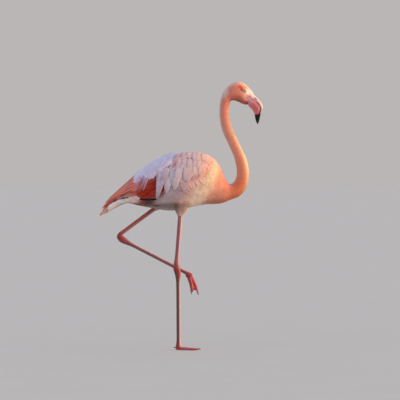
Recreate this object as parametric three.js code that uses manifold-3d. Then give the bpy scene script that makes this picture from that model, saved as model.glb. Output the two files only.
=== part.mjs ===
// A greater flamingo at life size, stepping: it stands on its right foot, with the left leg drawn up behind.
// Millimetres. +X is the way the bird faces, +Y is its left and +Z is up. The origin is under the ball of the
// standing foot, on the ground.
import * as THREE from "three";
import { mergeVertices } from "three/addons/utils/BufferGeometryUtils.js";
import Module from "manifold-3d";

const wasm = await Module();
wasm.setup();

// ---------------------------------------------------------------- driving dimensions
const GAP = 0.3; // what touching pieces keep between them
const RIGHT = -1; // the side of the body, as the sign of Y
const LEFT = 1;

// The trunk, neck and head are one long form. Each station is a cut across it: the point on the back line,
// the point on the belly line, each as [x, z], and half the width there.
const STATIONS = [
  { name: "tailTip", back: [-316, 541], belly: [-312, 534], half: 5 },
  { name: "tailMid", back: [-264, 603], belly: [-258, 568], half: 17 },
  { name: "rump", back: [-210, 652], belly: [-206, 587], half: 31 },
  { name: "hips", back: [-158, 702], belly: [-162, 578], half: 50 },
  { name: "loin", back: [-98, 748], belly: [-104, 567], half: 65 },
  { name: "saddle", back: [-28, 781], belly: [-40, 557], half: 73 },
  { name: "midBack", back: [42, 792], belly: [22, 563], half: 75 },
  { name: "shoulders", back: [102, 787], belly: [72, 575.5], half: 71 },
  { name: "foreBreast", back: [143, 766], belly: [114, 582], half: 61 },
  { name: "breast", back: [171, 728], belly: [148, 583], half: 48 },
  { name: "neckRoot", back: [189, 685], belly: [177, 587], half: 38 },
  { name: "neckSweep", back: [203, 665], belly: [208, 600], half: 30.5 },
  { name: "neckTurn", back: [219, 671], belly: [246, 617], half: 27 },
  { name: "neckRise", back: [231, 692], belly: [274.5, 655], half: 24.5 },
  { name: "neckLow", back: [232.5, 720], belly: [282, 708], half: 24 },
  { name: "neckLower", back: [226.5, 756], belly: [275, 754], half: 23 },
  { name: "neckMid", back: [214.5, 790], belly: [255.5, 802], half: 21 },
  { name: "neckUpper", back: [196, 830], belly: [234, 847], half: 19.5 },
  { name: "neckHigh", back: [176.5, 872], belly: [217.5, 886], half: 18.5 },
  { name: "neckTop", back: [166, 916], belly: [204.5, 926], half: 17.5 },
  { name: "nape", back: [163.5, 958], belly: [200.5, 960], half: 17 },
  { name: "napeBend", back: [168, 1000], belly: [205, 985], half: 17.5 },
  { name: "occiput", back: [182, 1038], belly: [208, 995], half: 19.5 },
  { name: "crownBack", back: [208, 1062.5], belly: [220, 998], half: 22 },
  { name: "crown", back: [235, 1073], belly: [238, 993], half: 23 },
  { name: "brow", back: [257, 1069], belly: [256, 984.5], half: 22 },
  { name: "lore", back: [275, 1055.5], belly: [268, 981.5], half: 19 },
  { name: "billBase", back: [292, 1038], belly: [277, 982], half: 15.5 },
];
const BODY_TOP_HEAVY = 0.05; // how much wider the trunk is above its middle than below
const HEAD_TOP_HEAVY = -0.16; // the crown is narrower than the cheeks

// The bill, from its base to its tip: culmen, mouth line and keel, each as [x, z], and half the width.
const BILL = [
  { culmen: [302.5, 1021], mouth: [292.5, 1001.5], keel: [280.5, 975.5], half: 14.6 },
  { culmen: [315.5, 1007.5], mouth: [306.5, 995], keel: [288.5, 967], half: 14 },
  { culmen: [329.5, 991.5], mouth: [318.5, 985], keel: [296, 959.5], half: 13.4 },
  { culmen: [336.5, 978], mouth: [325.5, 973], keel: [300.5, 952], half: 12.6 },
  { culmen: [337, 967], mouth: [328.2, 960.5], keel: [303.2, 945], half: 11.4 },
  { culmen: [331.5, 955], mouth: [326, 948.5], keel: [304.5, 938], half: 9.8 },
  { culmen: [328, 941], mouth: [322, 937.5], keel: [306, 931], half: 7.6 },
  { culmen: [325, 926.5], mouth: [318.5, 922], keel: [308.5, 919.5], half: 5.2 },
  { culmen: [321.5, 913], mouth: [317, 911], keel: [311.5, 911], half: 3.4 },
  { culmen: [318, 904], mouth: [317, 903.5], keel: [315.8, 903.8], half: 1.3 },
];
const MOUTH_SHARE = 0.48; // how far down the bill's base the mouth line starts
const UPPER_BILL_WIDTH = 0.95; // of the lower bill's width

// Slits: where the middle is, seen from the side, its distance from the midline, and its slope down.
const NOSTRIL = { at: [308, 1004.5], out: 11, length: 13, height: 2.2, depth: 5, turn: 48 };
const GAPE = { at: [275.5, 1016.5], out: 18, length: 25, height: 1.4, depth: 4, turn: 33 };
const EYE = { at: [263.5, 1037], radius: 7.6, sunk: 4.2 };
const LID = { radius: 5.9, thick: 1.1, long: 1.12, high: 0.9 };

// Legs: each joint's place, and the fore-and-aft and sideways radii of the shafts and joints.
const FOOT_JOINT_HEIGHT = 11;
const TARSUS_LENGTH = 309;
const LEG = { shin: [8.3, 6.4], shinTop: 1.08, tarsus: [7.9, 5.6], hock: [13.8, 10.2], hockHalf: 23 };
const HEEL_SHARE = 0.45; // how much of the way to the hock's size the tarsus swells at its top
const BALL = { radii: [12, 9.4, 10.4], top: 10.4 }; // the toe joint, and how far up it reaches
// The lines of shin and tarsus end apart at the hock: split is the way from its middle to the shin's line.
const RIGHT_LEG = {
  side: RIGHT,
  lifted: false,
  thighTop: [14, -40, 604],
  thighEnd: [8, -35, 536],
  hock: [-5.7, -20.5, FOOT_JOINT_HEIGHT + TARSUS_LENGTH],
  split: [-4.3, 0, 0],
  toeJoint: [0, 0, FOOT_JOINT_HEIGHT],
};
const LEFT_LEG = {
  side: LEFT,
  lifted: true,
  thighTop: [-44, 40, 606],
  thighEnd: [-99, 38, 563],
  hock: [-236, 46, 452.5],
  split: [-4, 0, 6.5],
  toeJoint: [46, 40, 300.5],
};
const THIGH = { at: [0, 0.3, 0.65, 1], thick: [14, 30, 23, 10.5], flat: 0.8, socket: 10 };

// Toes: length, sideways angle from straight ahead, the radius at the root and the tip, how high the toe sits
// over the ground, its claw's length, and how much further than DANGLE.drop it hangs on the lifted foot.
// The claws are a little thinner than the toes' tips.
const TOES = [
  { name: "inner", length: 66, turn: 33, root: 5.4, tip: 3, above: 0, claw: 8.5, hang: 4 },
  { name: "middle", length: 82, turn: 0, root: 5.8, tip: 3.2, above: 0, claw: 8.5, hang: -9 },
  { name: "outer", length: 76, turn: -31, root: 5.4, tip: 3, above: 0, claw: 8.5, hang: 14 },
  { name: "hind", length: 15, turn: 172, root: 3.4, tip: 2.4, above: 7, claw: 5, hang: -136 },
];
const CLAW = { radius: 2.2, share: 0.86, droop: 0.3, raised: 0.6 };
const TOE_FLAT = 0.8; // how high a toe's middle lies on the ground, as a share of its radius
const KNUCKLES = { swell: 0.08, waves: 3 };
const WEB = { thick: 2.2, reach: 0.84, notch: 0.66, below: 0.6 };
const SOLE = { top: 9.5, bottom: 10, thick: 6 }; // the pad under the toe joint
const DANGLE = { drop: 74, spread: 0.42, curl: 22 }; // the lifted foot: degrees below level, folding, curl

// The folded wing: a core on the flank that carries tiers of feathers. "along" is a distance on the long form
// from the tail's tip, and "angle" is measured round it from the back line, with 90 on the flank.
const WING_CORE = { along: [252, 506], angle: [9, 117], thick: 9, sunk: 2.5, rim: 0.035, wristFrom: 0.72 };

// Feather tiers, from the lowest layer to the top one. Each goes from its first feather to its last: where
// roots and tips lie, how high the shaft lies over the skin at root, middle and tip, and the vane's width.
const PRIMARIES = {
  count: 4, root: { along: [272, 278], angle: [112, 103] }, tip: { along: [100, 66], angle: [137, 121] },
  lift: [[1.2, 1.2, 1.2], [3, 4.6, 5.4]], width: [15, 16], shape: "pointed", roll: 0,
};
const TERTIALS = {
  count: 7, root: { along: [288, 332], angle: [98, 17] }, tip: { along: [74, 36], angle: [110, 16] },
  lift: [[2.4, 5.5, 7.5], [3.4, 8, 13]], width: [30, 31], shape: "tapered", roll: -1.4,
};
const GREATER_COVERTS = {
  count: 7, root: { along: [352, 358], angle: [106, 26] }, tip: { along: [228, 158], angle: [111, 40] },
  lift: [[3, 10, 9.5], [3, 11, 10.5]], width: [25, 25], shape: "rounded", roll: -1.2,
};
const UPPER_SCAPULARS = {
  count: 4, root: { along: [352, 338], angle: [47, 18] }, tip: { along: [196, 172], angle: [86, 20] },
  lift: [[5.5, 13, 13], [4.5, 14, 12]], width: [30, 30], shape: "scapular", roll: -1,
};
const LONG_SCAPULARS = {
  count: 8, root: { along: [472, 366], angle: [78, 50] }, tip: { along: [436, 214], angle: [134, 104] },
  lift: [[5, 8, 6], [6.5, 15, 15.5]], width: [31, 32], shape: "scapular", roll: -1.2,
};
const WING_TIERS = [PRIMARIES, TERTIALS, GREATER_COVERTS, UPPER_SCAPULARS, LONG_SCAPULARS];

// The tail's feathers go round the rump's end from the back line to the belly, on both sides.
const TAIL_CORE = { from: 66, to: 129, sunk: 3.2 };
const TAIL_FEATHERS = {
  count: 3, root: { along: [118, 124], angle: [140, 32] }, tip: { along: [24, 2], angle: [140, 42] },
  lift: [[-3.8, -1.2, -0.4], [-3.8, -1, 0]], width: [17, 19], shape: "rounded", roll: 0,
};

// A vane's outline from root to tip: places along it, as shares of its length, and shares of its width there.
const VANE_SHAPES = {
  pointed: { at: [0, 0.3, 0.7, 0.9, 1], wide: [0.5, 1, 0.95, 0.55, 0.1] },
  tapered: { at: [0, 0.26, 0.55, 0.82, 1], wide: [0.55, 1, 0.86, 0.52, 0.1] },
  scapular: { at: [0, 0.34, 0.74, 1], wide: [0.6, 1, 0.72, 0.1] },
  rounded: { at: [0, 0.36, 0.8, 1], wide: [0.6, 1, 0.85, 0.22] },
};
const VANE = { edge: 0.6, shaft: 1.3, tipShare: 0.6, camber: 0.05, jitter: 0.035, jitterAngle: 30 };

const LOOKS = {
  plumage: { color: 0xf2c9c0, roughness: 0.8 },
  wing: { color: 0xf0b8a8, roughness: 0.8 },
  tail: { color: 0xe58a6c, roughness: 0.8 },
  neck: { color: 0xe98a6c, roughness: 0.8 },
  head: { color: 0xe88a70, roughness: 0.8 },
  upperBill: { color: 0xf3cfc0, roughness: 0.4 },
  lowerBill: { color: 0xd0707a, roughness: 0.4 },
  eye: { color: 0xf0dc9a, roughness: 0.1 },
  leg: { color: 0xc8586a, roughness: 0.55 },
  hock: { color: 0xd8424c, roughness: 0.55 },
  claw: { color: 0x3a2a28, roughness: 0.4 },
};

// ---------------------------------------------------------------- small tools
const rad = THREE.MathUtils.degToRad;
const clamp = THREE.MathUtils.clamp;
const mix = (a, b, t) => a + (b - a) * t;
const mixAll = (a, b, t) => a.map((v, i) => mix(v, b[i], t));
const stretched = (radii, share, grow = 0) => radii.map((r) => r * share + grow);
const vec = (x, y, z) => new THREE.Vector3(x, y, z);

/** A smooth curve through values at rising keys, with each slope taken from its two neighbours. */
function smoothCurve(keys, values) {
  const last = keys.length - 1;
  const slopes = keys.map((_, i) => {
    const [a, b] = [Math.max(i - 1, 0), Math.min(i + 1, last)];
    return (values[b] - values[a]) / (keys[b] - keys[a]);
  });
  return (at) => {
    const t = clamp(at, keys[0], keys[last]);
    let i = 0;
    while (i < last - 1 && t > keys[i + 1]) i++;
    const step = keys[i + 1] - keys[i];
    const u = (t - keys[i]) / step;
    const [u2, u3] = [u * u, u * u * u];
    return (
      values[i] * (2 * u3 - 3 * u2 + 1) +
      values[i + 1] * (3 * u2 - 2 * u3) +
      slopes[i] * step * (u3 - 2 * u2 + u) +
      slopes[i + 1] * step * (u3 - u2)
    );
  };
}

/** A geometry from points and triangles, turned so that its faces point out. */
function geometryFrom(points, faces) {
  let volume = 0;
  const cross = vec(0, 0, 0);
  for (let i = 0; i < faces.length; i += 3) {
    const [a, b, c] = [points[faces[i]], points[faces[i + 1]], points[faces[i + 2]]];
    volume += a.dot(cross.crossVectors(b, c));
  }
  const turned = volume < 0 ? faces.toReversed() : faces;
  const places = points.flatMap((p) => [p.x, p.y, p.z]);
  const geometry = new THREE.BufferGeometry();
  geometry.setAttribute("position", new THREE.Float32BufferAttribute(places, 3));
  return geometry.setIndex(turned);
}

/** A closed form through rings of equal point count, each end closed by a fan about the ring's middle. */
function loft(rings) {
  const sides = rings[0].length;
  const points = rings.flat();
  const faces = [];
  for (let r = 0; r + 1 < rings.length; r++)
    for (let i = 0; i < sides; i++) {
      const j = (i + 1) % sides;
      const [a, b, c, d] = [r * sides + i, r * sides + j, (r + 1) * sides + j, (r + 1) * sides + i];
      faces.push(a, b, c, a, c, d);
    }
  for (const r of [0, rings.length - 1]) {
    const middle = rings[r].reduce((sum, p) => sum.add(p), vec(0, 0, 0)).divideScalar(sides);
    points.push(middle);
    for (let i = 0; i < sides; i++) {
      const [a, b] = [r * sides + i, r * sides + ((i + 1) % sides)];
      faces.push(...(r === 0 ? [b, a] : [a, b]), points.length - 1);
    }
  }
  return geometryFrom(points, faces);
}

/** A three.js geometry as a manifold solid. */
function solid(geometry) {
  const plain = geometry.clone();
  for (const name of Object.keys(plain.attributes)) if (name !== "position") plain.deleteAttribute(name);
  const merged = mergeVertices(plain, 1e-4);
  const mesh = new wasm.Mesh({
    numProp: 3,
    vertProperties: merged.attributes.position.array,
    triVerts: new Uint32Array(merged.index.array),
  });
  return new wasm.Manifold(mesh);
}

/** A manifold solid's largest closed surface as a geometry. */
function geometryOf(manifold) {
  const pieces = manifold.decompose().sort((a, b) => b.volume() - a.volume());
  const mesh = pieces[0].getMesh();
  const geometry = new THREE.BufferGeometry();
  const position = new Float32Array(mesh.numVert * 3);
  for (let i = 0; i < mesh.numVert; i++)
    position.set(mesh.vertProperties.subarray(i * mesh.numProp, i * mesh.numProp + 3), i * 3);
  geometry.setAttribute("position", new THREE.BufferAttribute(position, 3));
  return geometry.setIndex(new THREE.BufferAttribute(mesh.triVerts, 1));
}

const joined = (solids) => solids.reduce((whole, next) => whole.add(next));

/** A closed sheet between an upper and a lower grid of points, with both faces split into triangles alike. */
function sheetSolid(upper, lower) {
  const [rows, columns] = [upper.length, upper[0].length];
  const under = rows * columns;
  const faces = [];
  for (let r = 0; r + 1 < rows; r++)
    for (let c = 0; c + 1 < columns; c++) {
      const [a, b, d] = [r * columns + c, r * columns + c + 1, (r + 1) * columns + c];
      const e = d + 1;
      faces.push(a, b, e, a, e, d);
      faces.push(under + a, under + e, under + b, under + a, under + d, under + e);
    }
  const wall = (a, b) => faces.push(b, a, under + a, b, under + a, under + b);
  const at = (r, c) => r * columns + c;
  for (let c = 0; c + 1 < columns; c++) {
    wall(at(0, c), at(0, c + 1));
    wall(at(rows - 1, c + 1), at(rows - 1, c));
  }
  for (let r = 0; r + 1 < rows; r++) {
    wall(at(r + 1, 0), at(r, 0));
    wall(at(r, columns - 1), at(r + 1, columns - 1));
  }
  return solid(geometryFrom([...upper.flat(), ...lower.flat()], faces));
}

/** Repeatable random numbers from -1 to 1. */
function seededRandom(seed) {
  let state = seed;
  return () => {
    state = (state * 1664525 + 1013904223) >>> 0;
    return (state / 2 ** 32) * 2 - 1;
  };
}

// ---------------------------------------------------------------- the long form of trunk, neck and head
const stationAt = { [STATIONS[0].name]: 0 };
STATIONS.slice(1).forEach((station, i) => {
  const before = STATIONS[i];
  const middle = (s) => vec((s.back[0] + s.belly[0]) / 2, 0, (s.back[1] + s.belly[1]) / 2);
  stationAt[station.name] = stationAt[before.name] + middle(station).distanceTo(middle(before));
});
const stationKeys = STATIONS.map((station) => stationAt[station.name]);
const throughStations = (value) => smoothCurve(stationKeys, STATIONS.map(value));
const backX = throughStations((s) => s.back[0]);
const backZ = throughStations((s) => s.back[1]);
const bellyX = throughStations((s) => s.belly[0]);
const bellyZ = throughStations((s) => s.belly[1]);
const halfWidth = throughStations((s) => s.half);

/** How top-heavy the cut is: the trunk's value up to the neck, none on the neck, the head's on the head. */
function topHeavy(s) {
  const trunk = 1 - THREE.MathUtils.smoothstep(s, stationAt.breast, stationAt.neckTurn);
  const head = THREE.MathUtils.smoothstep(s, stationAt.napeBend, stationAt.crown);
  return BODY_TOP_HEAVY * trunk + HEAD_TOP_HEAVY * head;
}

/** The skin at a distance along the form and an angle round it: 0 the back, 90 the right, 180 the belly. */
function skinPoint(s, angle) {
  const up = Math.cos(rad(angle));
  const side = Math.sin(rad(angle)) * (1 + topHeavy(s) * up);
  return vec(
    mix(bellyX(s), backX(s), (1 + up) / 2),
    RIGHT * halfWidth(s) * side,
    mix(bellyZ(s), backZ(s), (1 + up) / 2),
  );
}

/** An angle round the form on the right side, or its mirror image on the left. */
const onSide = (side, angle) => (side === RIGHT ? angle : 360 - angle);

/** The outward normal of the skin, from small steps each way. */
function skinNormal(s, angle) {
  const along = skinPoint(s + 1, angle).sub(skinPoint(s - 1, angle));
  const round = skinPoint(s, angle + 1).sub(skinPoint(s, angle - 1));
  return round.cross(along).normalize();
}

/** A point above the skin by lift. */
function onSkin(s, angle, lift = 0) {
  return skinPoint(s, angle).addScaledVector(skinNormal(s, angle), lift);
}

/** The solid stretch of the long form between two distances, swollen by lift. */
function stretch(from, to, step, sides, lift = 0) {
  const count = Math.max(2, Math.round((to - from) / step));
  const rings = [];
  for (let i = 0; i <= count; i++) {
    const s = mix(from, to, i / count);
    rings.push(Array.from({ length: sides }, (_, k) => onSkin(s, (k / sides) * 360, lift)));
  }
  return solid(loft(rings));
}

const halfGap = GAP / 2;
const trunkSides = 20;
const trunkStep = 22;
const torsoSpan = [stationAt.rump, stationAt.neckRoot - halfGap];
const torsoSolid = stretch(...torsoSpan, trunkStep, trunkSides);
const torsoRoom = stretch(torsoSpan[0] - GAP, torsoSpan[1] + GAP, trunkStep, trunkSides, GAP);

// ---------------------------------------------------------------- neck
const NECK_LENGTHS = [
  { name: "neck_base", from: "neckRoot", to: "neckTurn", step: 12 },
  { name: "neck_lower", from: "neckTurn", to: "neckLower", step: 14 },
  { name: "neck_middle", from: "neckLower", to: "neckUpper", step: 18 },
  { name: "neck_upper", from: "neckUpper", to: "napeBend", step: 17 },
];
const neckSides = 16;
const neckSolids = NECK_LENGTHS.map(({ name, from, to, step }) => ({
  name,
  solid: stretch(stationAt[from] + halfGap, stationAt[to] - halfGap, step, neckSides),
}));

// ---------------------------------------------------------------- head, eyes and bill
/** The distance and angle on the skin that show at x, z from the side, between two distances, by halving. */
function fromSide([x, z], [low, high]) {
  let [a, b] = [low, high];
  for (let i = 0; i < 40; i++) {
    const s = (a + b) / 2;
    const ahead = (x - bellyX(s)) * (backZ(s) - bellyZ(s)) - (z - bellyZ(s)) * (backX(s) - bellyX(s));
    if (ahead > 0) a = s;
    else b = s;
  }
  const cut = [backX(a) - bellyX(a), backZ(a) - bellyZ(a)];
  const share = ((x - bellyX(a)) * cut[0] + (z - bellyZ(a)) * cut[1]) / (cut[0] ** 2 + cut[1] ** 2);
  return { s: a, angle: THREE.MathUtils.radToDeg(Math.acos(clamp(2 * share - 1, -1, 1))) };
}

const headSpan = [stationAt.napeBend + halfGap, stationAt.billBase];
const eyeSpot = fromSide(EYE.at, headSpan);

/** The eye's middle on one side of the head, and the way it looks. */
function eyeFrame(side) {
  const angle = onSide(side, eyeSpot.angle);
  const normal = skinNormal(eyeSpot.s, angle);
  return { normal, middle: onSkin(eyeSpot.s, angle, -EYE.sunk) };
}

function eyeGeometry(side, grow = 0) {
  const { normal, middle } = eyeFrame(side);
  const turn = new THREE.Quaternion().setFromUnitVectors(vec(0, 1, 0), normal);
  return new THREE.SphereGeometry(EYE.radius + grow, 12, 8).applyQuaternion(turn).translate(...middle);
}

/** The rim of the lids, a ring that stands out of the skin round the eye. */
function lidSolid(side) {
  const { normal, middle } = eyeFrame(side);
  const turn = new THREE.Quaternion().setFromUnitVectors(vec(0, 0, 1), normal);
  const ring = new THREE.TorusGeometry(LID.radius, LID.thick, 5, 14).scale(LID.long, LID.high, 1);
  return solid(ring.applyQuaternion(turn).translate(...middle.addScaledVector(normal, EYE.sunk)));
}

/** A flat lens that cuts a slit, such as a nostril or the corner of the mouth, on one side of the head. */
function slit({ at, out, length, height, depth, turn }, side) {
  const lens = new THREE.SphereGeometry(1, 10, 6).scale(length / 2, depth, height / 2);
  return solid(lens.rotateY(rad(turn)).translate(at[0], side * out, at[1]));
}

let headSolid = stretch(...headSpan, 9, 18);
for (const side of [RIGHT, LEFT]) {
  headSolid = headSolid.add(lidSolid(side)).subtract(solid(eyeGeometry(side, GAP)));
  headSolid = headSolid.subtract(slit(GAPE, side));
}

/** The bill's stations, with the first set just clear of the head's end. */
function billStations() {
  const base = STATIONS[STATIONS.length - 1];
  const out = vec(base.back[1] - base.belly[1], 0, base.belly[0] - base.back[0]).normalize();
  const shifted = ([x, z]) => [x + out.x * GAP, z + out.z * GAP];
  const culmen = shifted(base.back);
  const keel = shifted(base.belly);
  const first = { culmen, keel, mouth: mixAll(culmen, keel, MOUTH_SHARE), half: base.half };
  const all = [first, ...BILL];
  const keys = all.map((_, i) => i);
  const through = (value) => smoothCurve(keys, all.map(value));
  const part = (name, axis) => through((b) => b[name][axis]);
  const lines = ["culmen", "mouth", "keel"].map((name) => [part(name, 0), part(name, 1)]);
  const half = through((b) => b.half);
  const fine = [];
  for (let k = 0; k <= keys.length - 1; k += 0.5) {
    const [c, m, g] = lines.map(([x, z]) => [x(k), z(k)]);
    fine.push({ culmen: c, mouth: m, keel: g, half: half(k) });
  }
  return fine;
}

/** Half of the bill, from its mouth line out to its edge line: a flat mouth face and a rounded outside. */
function billHalf(stations, edge, widthShare, square) {
  const sides = 9;
  const rings = stations.map((station) => {
    const [mx, mz] = station.mouth;
    const [ex, ez] = station[edge];
    const long = Math.hypot(ex - mx, ez - mz);
    const [ux, uz] = [(ex - mx) / long, (ez - mz) / long];
    return Array.from({ length: sides }, (_, k) => {
      const turn = (k / (sides - 1)) * Math.PI;
      const out = mix(halfGap, long, Math.abs(Math.sin(turn)) ** square);
      const sideways = Math.sign(Math.cos(turn)) * Math.abs(Math.cos(turn)) ** square;
      return vec(mx + ux * out, station.half * widthShare * sideways, mz + uz * out);
    });
  });
  return solid(loft(rings));
}

const billLine = billStations();
let billUpper = billHalf(billLine, "culmen", UPPER_BILL_WIDTH, 0.85);
const billLower = billHalf(billLine, "keel", 1, 0.72);
for (const side of [RIGHT, LEFT]) billUpper = billUpper.subtract(slit(NOSTRIL, side));

// ---------------------------------------------------------------- legs and feet
/** A limb along a straight line between two points. radii(t) gives the fore-and-aft and sideways radii. */
function limb(from, to, radii, steps = 2, sides = 10) {
  const [a, b] = [vec(...from), vec(...to)];
  const along = b.clone().sub(a).normalize();
  const sideways = vec(0, 1, 0).addScaledVector(along, -along.y).normalize();
  const forward = sideways.clone().cross(along).normalize();
  const rings = [];
  for (let i = 0; i <= steps; i++) {
    const t = i / steps;
    const [fore, wide] = radii(t);
    const middle = a.clone().lerp(b, t);
    rings.push(
      Array.from({ length: sides }, (_, k) => {
        const turn = (k / sides) * Math.PI * 2;
        return middle
          .clone()
          .addScaledVector(forward, fore * Math.cos(turn))
          .addScaledVector(sideways, wide * Math.sin(turn));
      }),
    );
  }
  return solid(loft(rings));
}

/** The point a given length from one end of a line towards the other. */
function towards(from, to, length) {
  const [a, b] = [vec(...from), vec(...to)];
  return a.addScaledVector(b.sub(a).normalize(), length).toArray();
}

/** The tarsus's radii at a share of its length: it swells at the top. */
const tarsusRadii = (t) => mixAll(LEG.tarsus, LEG.hock, HEEL_SHARE * (1 - t) ** 8);

/** The end of the shin's line at the hock (way 1), or the start of the tarsus's line (way -1). */
const hockPoint = ({ hock, split }, way) => hock.map((value, i) => value + way * split[i]);

/** A hock: the ends of the shin and the tarsus, tapering from a ball between them. */
function hockSolid(leg, top, bottom) {
  const swell = 0.86;
  const ballShare = 0.96;
  const ball = new THREE.SphereGeometry(1, 12, 8);
  ball.scale(LEG.hock[0] * ballShare, LEG.hock[1], LEG.hock[0] * ballShare).translate(...leg.hock);
  return joined([
    limb(top, hockPoint(leg, 1), (t) => mixAll(LEG.shin, LEG.hock, t ** 1.6 * swell), 3),
    limb(hockPoint(leg, -1), bottom, (t) => mixAll(tarsusRadii(0), LEG.hock, (1 - t) ** 1.6 * swell), 3),
    solid(ball),
  ]);
}

/** The nodes of one leg down to the toe joint. */
function legSolids(leg) {
  const { thighTop, thighEnd, toeJoint } = leg;
  const [shinFoot, tarsusHead] = [hockPoint(leg, 1), hockPoint(leg, -1)];
  const shinEnd = towards(shinFoot, thighEnd, LEG.hockHalf + GAP);
  const shinLimb = (inside, grow) => {
    const radii = (t) => mixAll(stretched(LEG.shin, LEG.shinTop, grow), stretched(LEG.shin, 1, grow), t);
    return limb(towards(thighEnd, shinFoot, -inside), shinEnd, radii, 3);
  };
  const thighSize = smoothCurve(THIGH.at, THIGH.thick);
  const thigh = limb(thighTop, thighEnd, (t) => [thighSize(t), thighSize(t) * THIGH.flat], 7, 14);
  const hockEnds = [towards(shinFoot, thighEnd, LEG.hockHalf), towards(tarsusHead, toeJoint, LEG.hockHalf)];
  const tarsusTop = towards(tarsusHead, toeJoint, LEG.hockHalf + GAP);
  return {
    thigh: thigh.subtract(torsoRoom).subtract(shinLimb(THIGH.socket + GAP, GAP)),
    shin: shinLimb(THIGH.socket, 0),
    hock: hockSolid(leg, ...hockEnds),
    tarsus: limb(tarsusTop, towards(toeJoint, tarsusHead, BALL.top), tarsusRadii, 6),
  };
}

/** One toe as a line of knuckles: points along it, its radius at each, and its direction at the tip. */
function toeLine(toe, side, lifted) {
  const folded = lifted && toe.name !== "hind";
  const turn = rad(toe.turn * -side * (folded ? DANGLE.spread : 1));
  const drop = lifted ? DANGLE.drop + toe.hang : 0;
  const count = 5;
  const points = [vec(0, 0, 0)];
  for (let i = 1; i <= count; i++) {
    const bend = rad(drop + (folded ? DANGLE.curl * (i / count - 0.5) : 0));
    const step = vec(Math.cos(bend) * Math.cos(turn), Math.sin(turn), -Math.sin(bend) * Math.cos(turn));
    points.push(points[i - 1].clone().addScaledVector(step, toe.length / count));
  }
  const radii = points.map((_, i) => {
    const t = i / count;
    return mix(toe.root, toe.tip, t) * (1 + KNUCKLES.swell * Math.cos(t * Math.PI * 2 * KNUCKLES.waves));
  });
  return { points, radii, tipWay: points[count].clone().sub(points[count - 1]).normalize() };
}

/** A tube of round rings through points, with a radius at each. */
function tube(points, radii, sides = 7) {
  const rings = points.map((point, i) => {
    const [a, b] = [points[Math.max(i - 1, 0)], points[Math.min(i + 1, points.length - 1)]];
    const along = b.clone().sub(a).normalize();
    const sideways = vec(0, 0, 1).cross(along);
    if (sideways.length() < 0.3) sideways.set(0, 1, 0).cross(along);
    sideways.normalize();
    const upward = along.clone().cross(sideways);
    return Array.from({ length: sides }, (_, k) => {
      const turn = (k / sides) * Math.PI * 2;
      return point
        .clone()
        .addScaledVector(sideways, radii[i] * Math.cos(turn))
        .addScaledVector(upward, radii[i] * Math.sin(turn));
    });
  });
  return solid(loft(rings));
}

/** The web between two toes: a thin sheet through their lines, its free edge drawn in between them. */
function webSolid(first, second, lift) {
  const count = first.points.length - 1;
  const across = 4;
  const rows = [];
  for (let i = 0; i <= count; i++) {
    const t = i / count;
    const row = [];
    for (let j = 0; j <= across; j++) {
      const v = j / across;
      const reach = mix(WEB.reach, WEB.notch, Math.sin(Math.PI * v)) * t;
      const at = (line) => {
        const k = Math.min(reach * count, count - 1e-6);
        return line.points[Math.floor(k)].clone().lerp(line.points[Math.floor(k) + 1], k % 1);
      };
      row.push(at(first).lerp(at(second), v).add(lift));
    }
    rows.push(row);
  }
  const normal = first.tipWay.clone().cross(second.tipWay).normalize();
  if (Math.abs(normal.z) > 0.5) normal.set(0, 0, 1);
  rows[0] = rows[0].map((p, j) => p.clone().lerp(rows[1][j], 0.3));
  const raised = (by) => rows.map((row) => row.map((p) => p.clone().addScaledVector(normal, by)));
  return sheetSolid(raised(WEB.thick / 2), raised(-WEB.thick / 2));
}

/** Lowers a toe from the joint to the ground, with its root still at the joint's height. */
function lowerToGround(line, toe, height) {
  line.points.forEach((p, i) => {
    const lowered = toe.above > 0 ? 1 : Math.min(1, i / 1.5);
    p.z += (line.radii[i] * TOE_FLAT + toe.above - height) * lowered;
  });
}

/** A claw on the end of a toe, bent down a little. */
function clawSolid(line, toe, lifted) {
  const radius = Math.min(CLAW.radius, toe.tip * CLAW.share);
  const start = line.points[line.points.length - 1].clone().addScaledVector(line.tipWay, GAP);
  const steps = [0, 0.5, 1].map((t) =>
    start
      .clone()
      .addScaledVector(line.tipWay, toe.claw * t)
      .add(vec(0, 0, (lifted ? 0 : CLAW.raised) - radius * CLAW.droop * t * t)),
  );
  return tube(steps, stretched([1, 0.75, 0.22], radius), 6);
}

/** A foot: four toes, two webs and the ball of the joint, and its claws in nodes of their own. */
function footSolids(leg) {
  const { side, toeJoint, lifted } = leg;
  const joint = vec(...toeJoint);
  const lines = TOES.map((toe) => {
    const line = toeLine(toe, side, lifted);
    if (!lifted) lowerToGround(line, toe, joint.z);
    line.points.forEach((p) => p.add(joint));
    return line;
  });
  const ball = new THREE.SphereGeometry(1, 10, 6).scale(...BALL.radii).translate(...toeJoint);
  const sink = vec(0, 0, lifted ? 0 : -WEB.below);
  const webs = [0, 1].map((i) => webSolid(lines[i], lines[i + 1], sink));
  let foot = joined([solid(ball), ...lines.map((line) => tube(line.points, line.radii)), ...webs]);
  if (!lifted) {
    const pad = new THREE.CylinderGeometry(SOLE.top, SOLE.bottom, SOLE.thick, 14).rotateX(Math.PI / 2);
    const ground = new THREE.BoxGeometry(400, 400, 100).translate(0, 0, -50);
    foot = foot.add(solid(pad.translate(0, 0, SOLE.thick / 2))).subtract(solid(ground));
  }
  const hockWay = vec(...hockPoint(leg, -1)).sub(joint).normalize();
  const above = new THREE.BoxGeometry(60, 60, 60).translate(0, 0, 30);
  above.applyQuaternion(new THREE.Quaternion().setFromUnitVectors(vec(0, 0, 1), hockWay));
  foot = foot.subtract(solid(above.translate(...joint.addScaledVector(hockWay, BALL.top - GAP))));
  const claws = lines.map((line, i) => ({ name: TOES[i].name, solid: clawSolid(line, TOES[i], lifted) }));
  return { foot, claws };
}

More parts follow.
